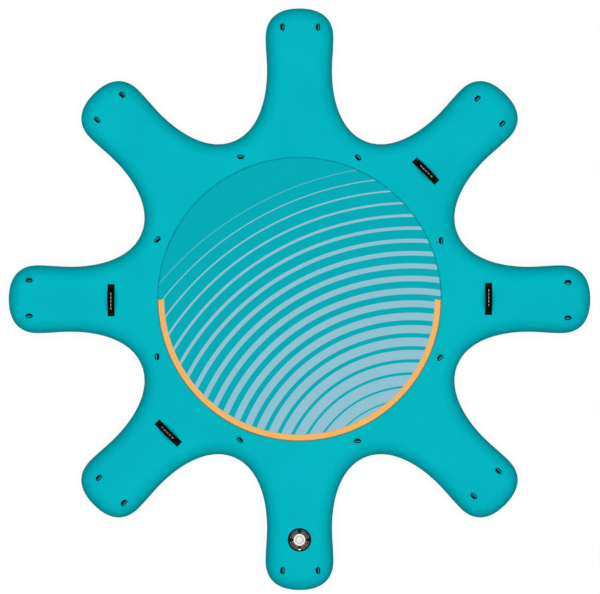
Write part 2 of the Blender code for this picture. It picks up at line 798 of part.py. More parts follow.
def valve_body():
    """The flange, socket and seat in one turning, joined to the ribbed hub that guides the stem."""
    shell = turned(
        "valve_body",
        [
            (FLANGE_RADIUS - FLANGE_EDGE, FLANGE_TOP),
            (FLANGE_RADIUS, FLANGE_TOP - FLANGE_EDGE),
            (FLANGE_RADIUS, FLANGE_LOW),
            (TUBE_RADIUS, FLANGE_LOW),
            (TUBE_RADIUS, SEAT_LOW),
            (SEAT_RADIUS, SEAT_LOW),
            (SEAT_RADIUS, SEAT_TOP),
            (SOCKET_RADIUS, SEAT_TOP),
            (SOCKET_RADIUS, FLANGE_TOP),
        ],
    )
    body = valve_piece("valve_body", shell, WHITE_PLASTIC)
    bore = STEM_RADIUS + STEM_CLEARANCE
    hub = turned("hub", ring_profile(bore, HUB_RADIUS, SEAT_LOW, HUB_TOP), SMALL_STEPS)
    hub.transform(AT_VALVE)
    boolean(body, as_tool(hub), "UNION")
    rib_low = HUB_RADIUS - RIB_ROOT
    rib_high = SEAT_RADIUS + RIB_ROOT
    for i in range(RIB_COUNT):
        rib = box_mesh(
            (rib_high - rib_low, RIB_WIDTH, SEAT_THICKNESS - 2 * RIB_STEP),
            ((rib_high + rib_low) / 2, 0, SEAT_LOW + SEAT_THICKNESS / 2),
        )
        bearing = math.radians(RIB_FROM_X_DEG) + math.tau * i / RIB_COUNT
        rib.transform(AT_VALVE @ Matrix.Rotation(bearing, 4, "Z"))
        boolean(body, as_tool(rib), "UNION")


valve_body()

SEAL_TOP = SEAT_LOW - LAYER_GAP
POPPET_TOP = SEAL_TOP - SEAL_THICKNESS - LAYER_GAP
STEM_TOP = BUTTON_TOP - BUTTON_CAP
valve_piece(
    "valve_poppet",
    turned(
        "valve_poppet",
        [
            (0, STEM_TOP),
            (STEM_RADIUS, STEM_TOP),
            (STEM_RADIUS, POPPET_TOP),
            (POPPET_RADIUS, POPPET_TOP),
            (POPPET_RADIUS, POPPET_TOP - POPPET_THICKNESS),
            (0, POPPET_TOP - POPPET_THICKNESS),
        ],
        SMALL_STEPS,
        closed=False,
    ),
    WHITE_PLASTIC,
)
valve_piece(
    "valve_seal",
    turned(
        "valve_seal",
        ring_profile(STEM_RADIUS + LAYER_GAP, POPPET_RADIUS, POPPET_TOP + LAYER_GAP, SEAL_TOP),
        SMALL_STEPS,
    ),
    BLACK_RUBBER,
)
stem_socket = STEM_RADIUS + LAYER_GAP
valve_piece(
    "valve_button",
    turned(
        "valve_button",
        [
            (0, BUTTON_TOP),
            (BUTTON_RADIUS - BUTTON_EDGE, BUTTON_TOP),
            (BUTTON_RADIUS, BUTTON_TOP - BUTTON_EDGE),
            (BUTTON_RADIUS, BUTTON_LOW),
            (stem_socket, BUTTON_LOW),
            (stem_socket, STEM_TOP + LAYER_GAP),
            (0, STEM_TOP + LAYER_GAP),
        ],
        SMALL_STEPS,
        closed=False,
    ),
    WHITE_PLASTIC,
)


def least_gap(path, apart):
    """The least gap between stretches of the spring's wire that many points apart or more."""
    between = [
        (second - first).length
        for i, first in enumerate(path)
        for second in path[i + apart :]
    ]
    return min(between) - SPRING_WIRE


def spring_mesh():
    """An open coil round the stem, from the hub up to the button."""
    radius = HUB_RADIUS - SPRING_WIRE / 2 - LAYER_GAP
    low = HUB_TOP + LAYER_GAP + SPRING_WIRE / 2
    high = BUTTON_LOW - LAYER_GAP - SPRING_WIRE / 2
    count = SPRING_TURNS * SPRING_POINTS_PER_TURN
    path = []
    for i in range(count + 1):
        angle = math.tau * i / SPRING_POINTS_PER_TURN
        height = low + (high - low) * i / count
        path.append(Vector((radius * math.cos(angle), radius * math.sin(angle), height)))
    print("valve_spring: least gap to itself", least_gap(path, SPRING_POINTS_PER_TURN // 2))
    curve = bpy.data.curves.new("valve_spring", "CURVE")
    curve.dimensions = "3D"
    curve.bevel_depth = SPRING_WIRE / 2
    curve.bevel_resolution = 1
    curve.use_fill_caps = True
    spline = curve.splines.new("POLY")
    spline.points.add(count)
    for point, spot in zip(spline.points, path):
        point.co = (*spot, 1)
    coil = bpy.data.objects.new("valve_spring", curve)
    PLATFORM.objects.link(coil)
    return evaluated_mesh(coil)


valve_piece("valve_spring", spring_mesh(), SPRING_STEEL)

plug_inner = CAP_PLUG_RADIUS - CAP_PLUG_WALL
plug_low = FLANGE_TOP - CAP_PLUG_DEPTH
seal_height = FLANGE_TOP - CAP_PLUG_DEPTH / 2
groove = CAP_SEAL_HEIGHT / 2 + LAYER_GAP
groove_radius = CAP_PLUG_RADIUS - CAP_SEAL_DEPTH - LAYER_GAP
valve_piece(
    "valve_cap",
    turned(
        "valve_cap",
        [
            (0, CAP_LOW + CAP_THICKNESS),
            (CAP_RADIUS - CAP_EDGE, CAP_LOW + CAP_THICKNESS - CAP_DOME),
            (CAP_RADIUS, CAP_LOW + CAP_THICKNESS - CAP_DOME - CAP_EDGE),
            (CAP_RADIUS, CAP_LOW),
            (CAP_PLUG_RADIUS, CAP_LOW),
            (CAP_PLUG_RADIUS, seal_height + groove),
            (groove_radius, seal_height + groove),
            (groove_radius, seal_height - groove),
            (CAP_PLUG_RADIUS, seal_height - groove),
            (CAP_PLUG_RADIUS, plug_low),
            (plug_inner, plug_low),
            (plug_inner, CAP_LOW),
            (0, CAP_LOW),
        ],
        closed=False,
    ),
    CAP_PLASTIC,
)
seal_inner = CAP_PLUG_RADIUS - CAP_SEAL_DEPTH
seal_outer = CAP_PLUG_RADIUS + CAP_SEAL_PROUD
seal_half = CAP_SEAL_HEIGHT / 2
valve_piece(
    "valve_cap_seal",
    turned(
        "valve_cap_seal",
        ring_profile(seal_inner, seal_outer, seal_height - seal_half, seal_height + seal_half),
    ),
    BLACK_RUBBER,
)

PIN_RADIUS_FROM_CENTRE = FLANGE_RADIUS + TETHER_PIN_FROM_FLANGE
PIN_HEIGHT = TETHER_LOW + TETHER_THICKNESS / 2
EAR_GAP = TETHER_WIDTH + 2 * LAYER_GAP
EAR_RADIUS = 2 * TETHER_PIN_RADIUS + LAYER_GAP


def tether():
    """The eye round the cap's plug, the strap out from it and the pin at its end, in one."""
    eye = plate(
        "valve_cap_tether",
        (
            circle(TETHER_RADIUS, TURNED_STEPS),
            circle(CAP_PLUG_RADIUS + LAYER_GAP, TURNED_STEPS),
        ),
        TETHER_LOW,
        TETHER_TOP,
    )
    piece = valve_piece("valve_cap_tether", eye, BLACK_RUBBER)
    start = (CAP_PLUG_RADIUS + TETHER_RADIUS) / 2
    strap = box_mesh(
        (TETHER_WIDTH, PIN_RADIUS_FROM_CENTRE - start, TETHER_THICKNESS - 2 * TETHER_STRAP_STEP),
        (0, (PIN_RADIUS_FROM_CENTRE + start) / 2, PIN_HEIGHT),
    )
    strap.transform(AT_VALVE)
    boolean(piece, as_tool(strap), "UNION")
    shape = bmesh.new()
    bmesh.ops.create_cone(
        shape,
        cap_ends=True,
        segments=SMALL_STEPS,
        radius1=TETHER_PIN_RADIUS,
        radius2=TETHER_PIN_RADIUS,
        depth=EAR_GAP + 2 * EAR_THICKNESS,
    )
    turn = Matrix.Rotation(math.pi / 2, 4, "Y")
    bmesh.ops.transform(shape, matrix=turn, verts=shape.verts)
    bmesh.ops.translate(shape, vec=(0, PIN_RADIUS_FROM_CENTRE, PIN_HEIGHT), verts=shape.verts)
    pin = bpy.data.meshes.new("pin")
    shape.to_mesh(pin)
    shape.free()
    pin.transform(AT_VALVE)
    boolean(piece, as_tool(pin), "UNION")


def tether_ring():
    """The ring round the flange, with two ears that hold the tether's pin."""
    inner = FLANGE_RADIUS + LAYER_GAP
    outer = inner + TETHER_RING_WIDTH
    low = GASKET_LOW
    mesh = turned("valve_tether_ring", ring_profile(inner, outer, low, FLANGE_TOP - LAYER_GAP))
    piece = valve_piece("valve_tether_ring", mesh, BLACK_RUBBER)
    for side in (-1, 1):
        hole_radius = TETHER_PIN_RADIUS + LAYER_GAP
        back = -EAR_RADIUS - LAYER_GAP
        outline = [(back, low - PIN_HEIGHT), (EAR_RADIUS, low - PIN_HEIGHT)]
        for i in range(EAR_STEPS + 1):
            angle = math.pi * i / EAR_STEPS
            outline.append((EAR_RADIUS * math.cos(angle), EAR_RADIUS * math.sin(angle)))
        outline[-1] = (back, 0)
        ear = plate("ear", (outline, circle(hole_radius, SMALL_STEPS)), 0, EAR_THICKNESS)
        stand = Matrix.Rotation(math.pi / 2, 4, "Z") @ Matrix.Rotation(math.pi / 2, 4, "X")
        edge = EAR_GAP / 2 if side > 0 else -EAR_GAP / 2 - EAR_THICKNESS
        ear.transform(Matrix.Translation((edge, PIN_RADIUS_FROM_CENTRE, PIN_HEIGHT)) @ stand)
        ear.transform(AT_VALVE)
        boolean(piece, as_tool(ear), "UNION")


tether()
tether_ring()
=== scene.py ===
"""Inflatable yoga platform: an eight-armed drop-stitch raft with a round foam deck.

All sizes are in metres. The origin is on the floor below the middle of the raft, +Z is up, the first
arm points along +X and the air valve is on the arm along -Y.
"""
import math

import bmesh
import bpy
from mathutils import Matrix, Vector, kdtree, noise
from mathutils.geometry import interpolate_bezier, tessellate_polygon


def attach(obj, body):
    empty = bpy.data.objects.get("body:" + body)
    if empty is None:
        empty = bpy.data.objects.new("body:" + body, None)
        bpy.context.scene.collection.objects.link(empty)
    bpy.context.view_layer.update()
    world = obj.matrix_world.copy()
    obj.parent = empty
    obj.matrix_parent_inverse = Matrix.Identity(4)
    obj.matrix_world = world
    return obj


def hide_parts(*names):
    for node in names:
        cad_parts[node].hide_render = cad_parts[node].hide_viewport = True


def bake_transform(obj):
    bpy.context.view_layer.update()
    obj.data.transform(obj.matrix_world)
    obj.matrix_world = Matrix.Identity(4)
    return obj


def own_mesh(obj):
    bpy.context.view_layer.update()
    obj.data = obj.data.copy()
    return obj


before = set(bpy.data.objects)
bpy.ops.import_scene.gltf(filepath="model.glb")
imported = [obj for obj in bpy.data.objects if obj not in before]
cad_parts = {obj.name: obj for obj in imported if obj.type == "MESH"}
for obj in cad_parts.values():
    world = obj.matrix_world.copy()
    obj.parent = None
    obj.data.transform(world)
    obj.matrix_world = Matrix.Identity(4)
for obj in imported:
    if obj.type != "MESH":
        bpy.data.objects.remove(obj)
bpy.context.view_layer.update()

# Drop-stitch core: two woven polyester cloths held at their distance by thousands of threads, and
# bonded to the inside of the skins. It is sealed in the hull, so the frame's own pieces stay and
# get the look of undyed yarn.
YARN_DARK = (0.62, 0.64, 0.63)
YARN_LIGHT = (0.76, 0.78, 0.77)
YARN_PITCH = 0.0009
YARN_RELIEF = 0.0002
WAVE_LENGTH = 0.314


def add_node(tree, kind, inputs=None, **settings):
    """A shader node with its settings made, and each input filled by a value or another's output."""
    node = tree.nodes.new("ShaderNode" + kind)
    for setting, value in settings.items():
        setattr(node, setting, value)
    for socket, value in (inputs or {}).items():
        if isinstance(value, bpy.types.NodeSocket):
            tree.links.new(value, node.inputs[socket])
        else:
            node.inputs[socket].default_value = value
    return node


class Finish:
    """A finish in the making: its node tree, its shader and the place on the piece."""

    def __init__(self, name, roughness, specular, metallic=0.0):
        self.material = bpy.data.materials.new(name)
        self.material.use_nodes = True
        self.tree = self.material.node_tree
        self.shader = self.tree.nodes["Principled BSDF"]
        self.shader.inputs["Roughness"].default_value = roughness
        self.shader.inputs["Specular IOR Level"].default_value = specular
        self.shader.inputs["Metallic"].default_value = metallic
        self.where = self.node("TexCoord").outputs["Object"]

    def node(self, kind, inputs=None, **settings):
        return add_node(self.tree, kind, inputs, **settings)

    def feed(self, socket, output):
        self.tree.links.new(output, self.shader.inputs[socket])

    def math(self, operation, *values):
        """One step of arithmetic on numbers and outputs."""
        return self.node("Math", dict(enumerate(values)), operation=operation).outputs["Value"]

    def rescaled(self, value, low, high, to_low=0.0, to_high=1.0, **settings):
        """A value moved over from one range to another."""
        ends = {"From Min": low, "From Max": high, "To Min": to_low, "To Max": to_high}
        return self.node("MapRange", {"Value": value, **ends}, **settings).outputs["Result"]

    def patches(self, size, detail=2.0):
        """Soft patches of about that size, mostly between 0.3 and 0.7."""
        cloud = {"Vector": self.where, "Scale": 1 / size, "Detail": detail}
        return self.node("TexNoise", cloud).outputs["Fac"]

    def weave(self, pitch):
        """The height of a plain weave, 0 between the yarns and 1 on them."""
        bands = {"Vector": self.where, "Scale": WAVE_LENGTH / pitch}
        warp = self.node("TexWave", bands, bands_direction="X").outputs["Fac"]
        weft = self.node("TexWave", bands, bands_direction="Y").outputs["Fac"]
        return self.math("MULTIPLY", warp, weft)

    def shades(self, factor, dark, light, low=0.35, high=0.65):
        """A colour that goes from dark to light as the factor goes from low to high."""
        ramp = self.node("ValToRGB", {"Fac": factor})
        for end, position, colour in zip(ramp.color_ramp.elements, (low, high), (dark, light)):
            end.position = position
            end.color = (*colour, 1.0)
        return ramp.outputs["Color"]

    def colour(self, factor, dark, light, low=0.35, high=0.65):
        self.feed("Base Color", self.shades(factor, dark, light, low, high))

    def polish(self, factor, smooth, rough):
        """Goes from smooth to rough over soft patches."""
        self.feed("Roughness", self.rescaled(factor, 0.3, 0.7, smooth, rough))

    def emboss(self, height, depth):
        bump = self.node("Bump", {"Height": height, "Distance": depth})
        self.feed("Normal", bump.outputs["Normal"])


def core_yarn():
    cloth = Finish("core_yarn", roughness=0.9, specular=0.2)
    yarns = cloth.weave(YARN_PITCH)
    # The colour goes from dark between the yarns to light on them: painted shade in the weave.
    cloth.colour(yarns, YARN_DARK, YARN_LIGHT, low=0.0, high=1.0)
    cloth.emboss(yarns, YARN_RELIEF)
    return cloth.material


def dress(piece, *finishes):
    """Gives a piece its finishes in the order of its material slots."""
    if not piece.material_slots:
        for finish in finishes:
            piece.data.materials.append(finish)
    for slot, finish in zip(piece.material_slots, finishes):
        slot.material = finish


core_finish = core_yarn()
dress(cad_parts["drop_stitch_core"], core_finish)
dress(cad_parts["core_upper_cloth"], core_finish)

# Bottom skin: polyester fabric coated with teal PVC, cut to the outline of the raft and glued over
# the lap of the side walls. It lies flat on the floor and turns up with the rail at its edge.
THICKNESS = 0.150
ARMS = 8
ARM_ANGLE = math.tau / ARMS
TIP_RADIUS = 1.450
BAY_RADIUS = 0.8534
BAY_HANDLE = 0.138
NECK_FROM_TIP = 0.310
NECK_HALF_WIDTH = 0.1622
NECK_HANDLE = 0.133
TIP_LENGTH = 0.1455
TIP_HALF_WIDTH = 0.1693
TIP_FULLNESS = 0.647
RAIL_IN = 0.080
RAIL_ROUNDNESS = 1.7
SKIN = 0.0012
SKIN_EDGE_IN = 0.050
SKIN_SKIVED = 0.018
SKIN_RIM_SHARE = 0.1
SKIN_FLAT_IN = 0.086
SKIN_STEPS = 12
SKIN_STEP = (SKIN_FLAT_IN - SKIN_EDGE_IN) / SKIN_STEPS
SKIN_INSETS = [SKIN_EDGE_IN + SKIN_STEP * i for i in range(SKIN_STEPS + 1)]
FLANK_STEPS = 34
SHOULDER_STEPS = 6
TIP_STEPS = 28
TEAL_DARK = (0.0, 0.448, 0.512)
TEAL_LIGHT = (0.0, 0.472, 0.538)
TEAL_DRIFT = 0.25
POLISH_PATCH = 0.02
SCRIM_PITCH = 0.0013
SCRIM_RELIEF = 0.00003


def edge_stretch(start, start_handle, end_handle, end, steps):
    """Points and outward directions along one curved stretch of the raft's widest line."""
    a, b, c, d = [Vector((x, y, 0)) for x, y in (start, start_handle, end_handle, end)]
    stretch = []
    for i, point in enumerate(interpolate_bezier(a, b, c, d, steps + 1)):
        t = i / steps
        along = (1 - t) ** 2 * (b - a) + 2 * t * (1 - t) * (c - b) + t**2 * (d - c)
        along.normalize()
        stretch.append((point, Vector((-along.y, along.x, 0))))
    return stretch


def arm_edge():
    """The widest line of the first arm, anticlockwise from one bay's bottom to the next."""
    half = ARM_ANGLE / 2
    bay = (BAY_RADIUS * math.cos(half), BAY_RADIUS * math.sin(half))
    bay_handle = (bay[0] + BAY_HANDLE * math.sin(half), bay[1] - BAY_HANDLE * math.cos(half))
    neck = (TIP_RADIUS - NECK_FROM_TIP, NECK_HALF_WIDTH)
    shoulder = (TIP_RADIUS - TIP_LENGTH, TIP_HALF_WIDTH)
    third = (shoulder[0] - neck[0]) / 3
    full_corner = (shoulder[0] + TIP_FULLNESS * TIP_LENGTH, shoulder[1])
    tip_handle = (TIP_RADIUS, TIP_FULLNESS * TIP_HALF_WIDTH)
    stretches = (
        (bay, bay_handle, (neck[0] - NECK_HANDLE, neck[1]), neck, FLANK_STEPS),
        (neck, (neck[0] + third, neck[1]), (shoulder[0] - third, shoulder[1]), shoulder, SHOULDER_STEPS),
        (shoulder, full_corner, tip_handle, (TIP_RADIUS, 0), TIP_STEPS),
    )
    upper = []
    for stretch in stretches:
        upper = upper[:-1] + edge_stretch(*stretch)
    lower = [(Vector((p.x, -p.y, 0)), Vector((n.x, -n.y, 0))) for p, n in upper]
    return lower + upper[-2::-1]


def raft_edge():
    edge = []
    for arm in range(ARMS):
        turn = Matrix.Rotation(arm * ARM_ANGLE, 3, "Z")
        edge += [(turn @ point, turn @ outward) for point, outward in arm_edge()[:-1]]
    return edge


def rail_height(inset, half_thickness):
    """Height of the hull above its own middle, that far in from the widest line."""
    across = max(0.0, 1 - inset / RAIL_IN)
    return half_thickness * (1 - across**2) ** (1 / RAIL_ROUNDNESS)


def lap(inset):
    """How far the skin's skived edge has come to its full thickness, that far in from the widest line."""
    return min(1.0, max(0.0, (inset - SKIN_EDGE_IN) / SKIN_SKIVED))


def join_rows(shape, rows, around=False, closed=False):
    """Faces between rows of corners: around joins each row's ends, closed the last row to the first."""
    faces = []
    for row, following in zip(rows, rows[1:] + rows[:1] if closed else rows[1:]):
        for i in range(len(row) if around else len(row) - 1):
            j = (i + 1) % len(row)
            faces.append(shape.faces.new((row[i], row[j], following[j], following[i])))
    return faces


def fill_rims(shape, rims):
    """Faces that fill the first rim and leave out the others."""
    corners = [corner for rim in rims for corner in rim]
    for triangle in tessellate_polygon([[corner.co for corner in rim] for rim in rims]):
        shape.faces.new([corners[i] for i in triangle])


def skin_sheet(side, hole=()):
    """The outer face of a skin, side 1 for the top and -1 for the bottom, skived thin to its edge."""
    shape = bmesh.new()
    full = shape.verts.layers.deform.verify()
    edge = raft_edge()
    loops = []
    for inset in SKIN_INSETS:
        height = THICKNESS / 2 + side * rail_height(inset, THICKNESS / 2)
        loop = []
        for point, outward in edge:
            spot = point - outward * inset
            corner = shape.verts.new((spot.x, spot.y, height))
            corner[full][0] = lap(inset)
            loop.append(corner)
        loops.append(loop)
    join_rows(shape, loops, around=True)
    rims = [loops[-1]]
    if hole:
        rims.append([shape.verts.new((x, y, height)) for x, y in hole])
        for corner in rims[-1]:
            corner[full][0] = 1.0
    fill_rims(shape, rims)
    shape.normal_update()
    for face in shape.faces:
        if face.normal.z * side < 0:
            face.normal_flip()
    return shape


def piece_of(name, shape, *finishes, smooth_deg=40, place=None):
    """A named piece from its mesh in the making, smooth up to an edge angle and crisp at cut edges."""
    shape.edges.index_update()
    cut_edges = [edge.index for edge in shape.edges if edge.is_boundary]
    mesh = bpy.data.meshes.new(name)
    shape.to_mesh(mesh)
    shape.free()
    mesh.shade_smooth()
    mesh.set_sharp_from_angle(angle=math.radians(smooth_deg))
    for i in cut_edges:
        mesh.edges[i].use_edge_sharp = True
    piece = bpy.data.objects.new(name, mesh)
    bpy.context.scene.collection.objects.link(piece)
    dress(piece, *finishes)
    if place is not None:
        piece.matrix_world = place
    return piece


def thicken(piece, thickness, offset=-1.0, rim_share=1.0):
    """Gives a single face of cloth its thickness, or from that share of it where it is skived."""
    layer = piece.modifiers.new("thickness", "SOLIDIFY")
    layer.thickness = thickness
    layer.offset = offset
    if rim_share < 1:
        layer.vertex_group = piece.vertex_groups.new(name="full_thickness").name
        layer.thickness_vertex_group = rim_share


def fit(piece, body, node=None):
    """A piece moves with a body and takes the place of a node."""
    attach(piece, body)
    if node:
        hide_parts(node)


def coated_fabric():
    """Teal PVC on a woven scrim that shows through it as a very fine square grain."""
    coat = Finish("coated_fabric", roughness=0.55, specular=0.012)
    coat.colour(coat.patches(TEAL_DRIFT), TEAL_DARK, TEAL_LIGHT)
    coat.emboss(coat.weave(SCRIM_PITCH), SCRIM_RELIEF)
    coat.polish(coat.patches(POLISH_PATCH), smooth=0.50, rough=0.62)
    return coat.material


hull_finish = coated_fabric()
bottom_skin = piece_of("hull_bottom_skin", skin_sheet(-1), hull_finish)
thicken(bottom_skin, SKIN, rim_share=SKIN_RIM_SHARE)
fit(bottom_skin, "platform", "bottom_skin")

# Side walls: a band of the coated fabric round each arm, lapped under both skins and rounded out
# by the air to the rail of the raft. The bays bend the band inwards, which leaves it with faint
# upright wrinkles there.
WALL = 0.0018
LAYER_GAP = 0.0003
LAP_STEP = 0.0002
WALL_STEPS = 12
WRINKLE = 0.0004
WRINKLE_PITCH = 0.034
WRINKLE_FROM = 0.04
WRINKLE_REACH = 0.17
WRINKLE_DRIFT = 3
DRIFTS_PER_METRE = 9
DRIFT_APART = 5.3


def wall_section(proud=0.0, laps=True):
    """Distances in from the widest line and heights from the hull's middle, from top to bottom."""
    up_to = math.acos(1 - SKIN_EDGE_IN / RAIL_IN)
    upper = []
    for i in range(WALL_STEPS + 1):
        angle = up_to * i / WALL_STEPS
        height = (THICKNESS / 2 - LAP_STEP + proud) * math.sin(angle) ** (2 / RAIL_ROUNDNESS)
        upper.append((RAIL_IN - (RAIL_IN + proud) * math.cos(angle), height, math.cos(angle)))
    if laps:
        for inset in SKIN_INSETS[1:]:
            below = LAP_STEP + (SKIN + LAYER_GAP - LAP_STEP) * lap(inset)
            upper.append((inset, rail_height(inset, THICKNESS / 2 - below), 0.0))
    return upper[::-1] + [(inset, -height, fullness) for inset, height, fullness in upper[1:]]


def band(edge, section, turn, wrinkle=0.0, seed=0):
    """The outer face of a band that follows a stretch of the widest line."""
    shape = bmesh.new()
    travelled = [0.0]
    for (here, _), (following, _) in zip(edge, edge[1:]):
        travelled.append(travelled[-1] + (following - here).length)
    rows = []
    for (point, outward), distance in zip(edge, travelled):
        from_bay = min(distance, travelled[-1] - distance)
        fade = math.exp(-((from_bay / WRINKLE_REACH) ** 2)) - math.exp(-((from_bay / WRINKLE_FROM) ** 2))
        drift = noise.noise(Vector((distance * DRIFTS_PER_METRE, seed * DRIFT_APART, 0)))
        wave = math.sin(math.tau * distance / WRINKLE_PITCH + WRINKLE_DRIFT * drift)
        row = []
        for inset, height, fullness in section:
            spot = turn @ (point - outward * (inset - wrinkle * fade * wave * fullness))
            row.append(shape.verts.new((spot.x, spot.y, THICKNESS / 2 + height)))
        rows.append(row)
    join_rows(shape, rows)
    return shape


ARM_TURNS = [Matrix.Rotation(arm * ARM_ANGLE, 3, "Z") for arm in range(ARMS)]
for arm, turn in enumerate(ARM_TURNS):
    wall_shape = band(arm_edge(), wall_section(), turn, WRINKLE, arm)
    wall = piece_of(f"rail_band_{arm + 1}", wall_shape, hull_finish)
    thicken(wall, WALL)
    fit(wall, "platform", f"side_wall_{arm + 1}")

# Joint straps: a short strip of the same fabric glued over the butt of two bands, down the rail at
# the bottom of each bay.
STRAP_HALF_WIDTH = 0.024
STRAP_PROUD = 0.00016
STRAP_THICKNESS = 0.00012

first_arm = arm_edge()
second_arm = [(ARM_TURNS[1] @ point, ARM_TURNS[1] @ outward) for point, outward in first_arm]
joint = first_arm[-1][0]
both_arms = first_arm + second_arm[1:]
under_strap = [pair for pair in both_arms if (pair[0] - joint).length < STRAP_HALF_WIDTH]
for bay, turn in enumerate(ARM_TURNS):
    strap_shape = band(under_strap, wall_section(STRAP_PROUD, laps=False), turn)
    strap = piece_of(f"rail_joint_strap_{bay + 1}", strap_shape, hull_finish)
    thicken(strap, STRAP_THICKNESS)
    fit(strap, "platform", f"side_wall_{bay + 1}")

# Top skin: the same coated fabric as the bottom, with a hole for the valve. Its skived edge is glued
# over the lap of the side walls, all but flush with the rail.
VALVE_FROM_TIP = 0.254
SKIN_HOLE_RADIUS = 0.0203
HOLE_STEPS = 64


def arc(radius, start, sweep, steps, centre=(0.0, 0.0)):
    """Points along an arc, with both its ends."""
    angles = [start + sweep * i / steps for i in range(steps + 1)]
    return [(centre[0] + radius * math.cos(a), centre[1] + radius * math.sin(a)) for a in angles]


def circle(radius, steps, centre=(0.0, 0.0)):
    return arc(radius, 0.0, math.tau, steps, centre)[:-1]


valve_hole = circle(SKIN_HOLE_RADIUS, HOLE_STEPS, (0.0, VALVE_FROM_TIP - TIP_RADIUS))
top_skin = piece_of("hull_top_skin", skin_sheet(1, valve_hole), hull_finish)
thicken(top_skin, SKIN, rim_share=SKIN_RIM_SHARE)
fit(top_skin, "platform", "top_skin")

# Tie patches: a disc of the coated fabric welded to the top skin below each of the 24 rings, two
# near the tip of each arm and one in front of each bay.
PAD_RADIUS = 0.7044
RING_FROM_SIDE = 0.0813
RING_FROM_TIP = (0.1156, 0.1196, 0.0971, 0.1083, 0.1058, 0.1170, 0.1013, 0.1468)
RING_SIDEWAYS = (-0.004, -0.007, -0.0035, -0.007, -0.006, 0.010, 0.0035, 0.008)
RING_FROM_PAD = (0.0567, 0.0577, 0.0606, 0.0610, 0.0588, 0.0550, 0.0557, 0.0518)
RING_PAST_BAY = (0.0, 0.001, -0.001, -0.0045, -0.0075, -0.0055, -0.0035, -0.0005)
TIE_PATCH_RADIUS = 0.022
PATCH = 0.0009
PATCH_EDGE = 0.0008
PATCH_CORNER = 0.0002
PATCH_STEPS = 40
FINDER_STEPS = 8


def ring_places():
    """Where each ring is and which way its bow points, seen from above."""
    places = []
    for arm in range(ARMS):
        bearing = arm * ARM_ANGLE
        heading = bearing - math.pi / 2 if arm < ARMS / 2 else bearing + math.pi / 2
        for side in (1, -1):
            across = side * (TIP_HALF_WIDTH - RING_FROM_SIDE) + RING_SIDEWAYS[arm]
            places.append((TIP_RADIUS - RING_FROM_TIP[arm], across, bearing, heading))
    for bay in range(ARMS):
        from_middle = PAD_RADIUS + RING_FROM_PAD[bay]
        places.append((from_middle, RING_PAST_BAY[bay], (bay + 0.5) * ARM_ANGLE, bay * ARM_ANGLE))
    faces = []
    for out, across, bearing, heading in places:
        spot = Matrix.Rotation(bearing, 3, "Z") @ Vector((out, across, 0))
        faces.append(Matrix.Translation(spot) @ Matrix.Rotation(heading, 4, "Z"))
    return faces


def edge_finder():
    """A finder of the nearest point on the raft's widest line."""
    edge = [point for point, _ in raft_edge()]
    dense = []
    for here, following in zip(edge, edge[1:] + edge[:1]):
        dense += [here.lerp(following, i / FINDER_STEPS) for i in range(FINDER_STEPS)]
    finder = kdtree.KDTree(len(dense))
    for i, point in enumerate(dense):
        finder.insert(point, i)
    finder.balance()
    return finder


NEAREST_EDGE = edge_finder()


def deck_height(x, y):
    """The height of the top skin at a place, which falls away over the rail."""
    inset = NEAREST_EDGE.find(Vector((x, y, 0)))[2]
    return THICKNESS / 2 + rail_height(inset, THICKNESS / 2)


def turned(profile, steps, closed=True):
    """A profile of (radius, height) points turned about Z; an open one starts and ends on the axis."""
    shape = bmesh.new()
    rings = []
    for radius, height in profile:
        spots = circle(radius, steps) if radius else [(0, 0)]
        rings.append([shape.verts.new((x, y, height)) for x, y in spots])
    for first, second in zip(rings, rings[1:] + rings[:1] if closed else rings[1:]):
        for i in range(steps):
            around = ((first, i), (first, i + 1), (second, i + 1), (second, i))
            shape.faces.new(dict.fromkeys(ring[k % len(ring)] for ring, k in around))
    bmesh.ops.recalc_face_normals(shape, faces=shape.faces)
    return shape


RING_FACES = ring_places()
patch_profile = [
    (0, PATCH),
    (TIE_PATCH_RADIUS * 0.35, PATCH),
    (TIE_PATCH_RADIUS * 0.7, PATCH),
    (TIE_PATCH_RADIUS - PATCH_EDGE, PATCH),
    (TIE_PATCH_RADIUS - PATCH_CORNER, PATCH * 0.75),
    (TIE_PATCH_RADIUS, PATCH * 0.4),
    (TIE_PATCH_RADIUS, 0),
    (TIE_PATCH_RADIUS * 0.5, 0),
    (0, 0),
]
for number, face in enumerate(RING_FACES, start=1):
    patch_shape = turned(patch_profile, PATCH_STEPS, closed=False)
    patch_shape.transform(face)
    for corner in patch_shape.verts:
        corner.co.z += deck_height(corner.co.x, corner.co.y)
    tie_patch = piece_of(f"tie_patch_{number:02d}", patch_shape, hull_finish)
    fit(tie_patch, "platform", "top_skin")

# Ring webbing: a short length of black polyester webbing folded round the bar of each ring, its two
# layers sewn together behind the bar and down to the patch with two rows of black thread.
DECK = THICKNESS
RING_WIRE = 0.005
RING_DEPTH = 0.0165
TAPE = 0.0012
TAPE_WIDTH = 0.0250
TAPE_CLEARANCE = 0.0004
TAPE_TAIL = 0.004
TAPE_WRAP_DEG = 225
TAPE_STEPS = 18
TAPE_ACROSS = 6
TAPE_EDGE = 0.0003
SOFTEN_FROM_DEG = 38
TAPE_RIB = 0.0013
LAYERS_APART = 0.0001
TAPE_EASE = 0.0004
BOND = 0.0003
WEBBING_DARK = (0.0015, 0.0015, 0.0018)
WEBBING_LIGHT = (0.0052, 0.0054, 0.0058)
WEBBING_RELIEF = 0.00012
WEBBING_SHEEN = 0.005
THREAD_BLACK = (0.012, 0.012, 0.013)
THREAD_RADIUS = 0.00028
THREAD_SIDES = 6
THREAD_END = 0.8
THREAD_SHADE = 0.6
THREAD_RELIEF = 0.00008
STITCH_DIVE = 0.2
TWIST_SCALE = 600.0
TAPE_STITCH = 0.0021
TAPE_STITCH_GAP = 0.0007
STITCH_FROM_EDGE = 0.002
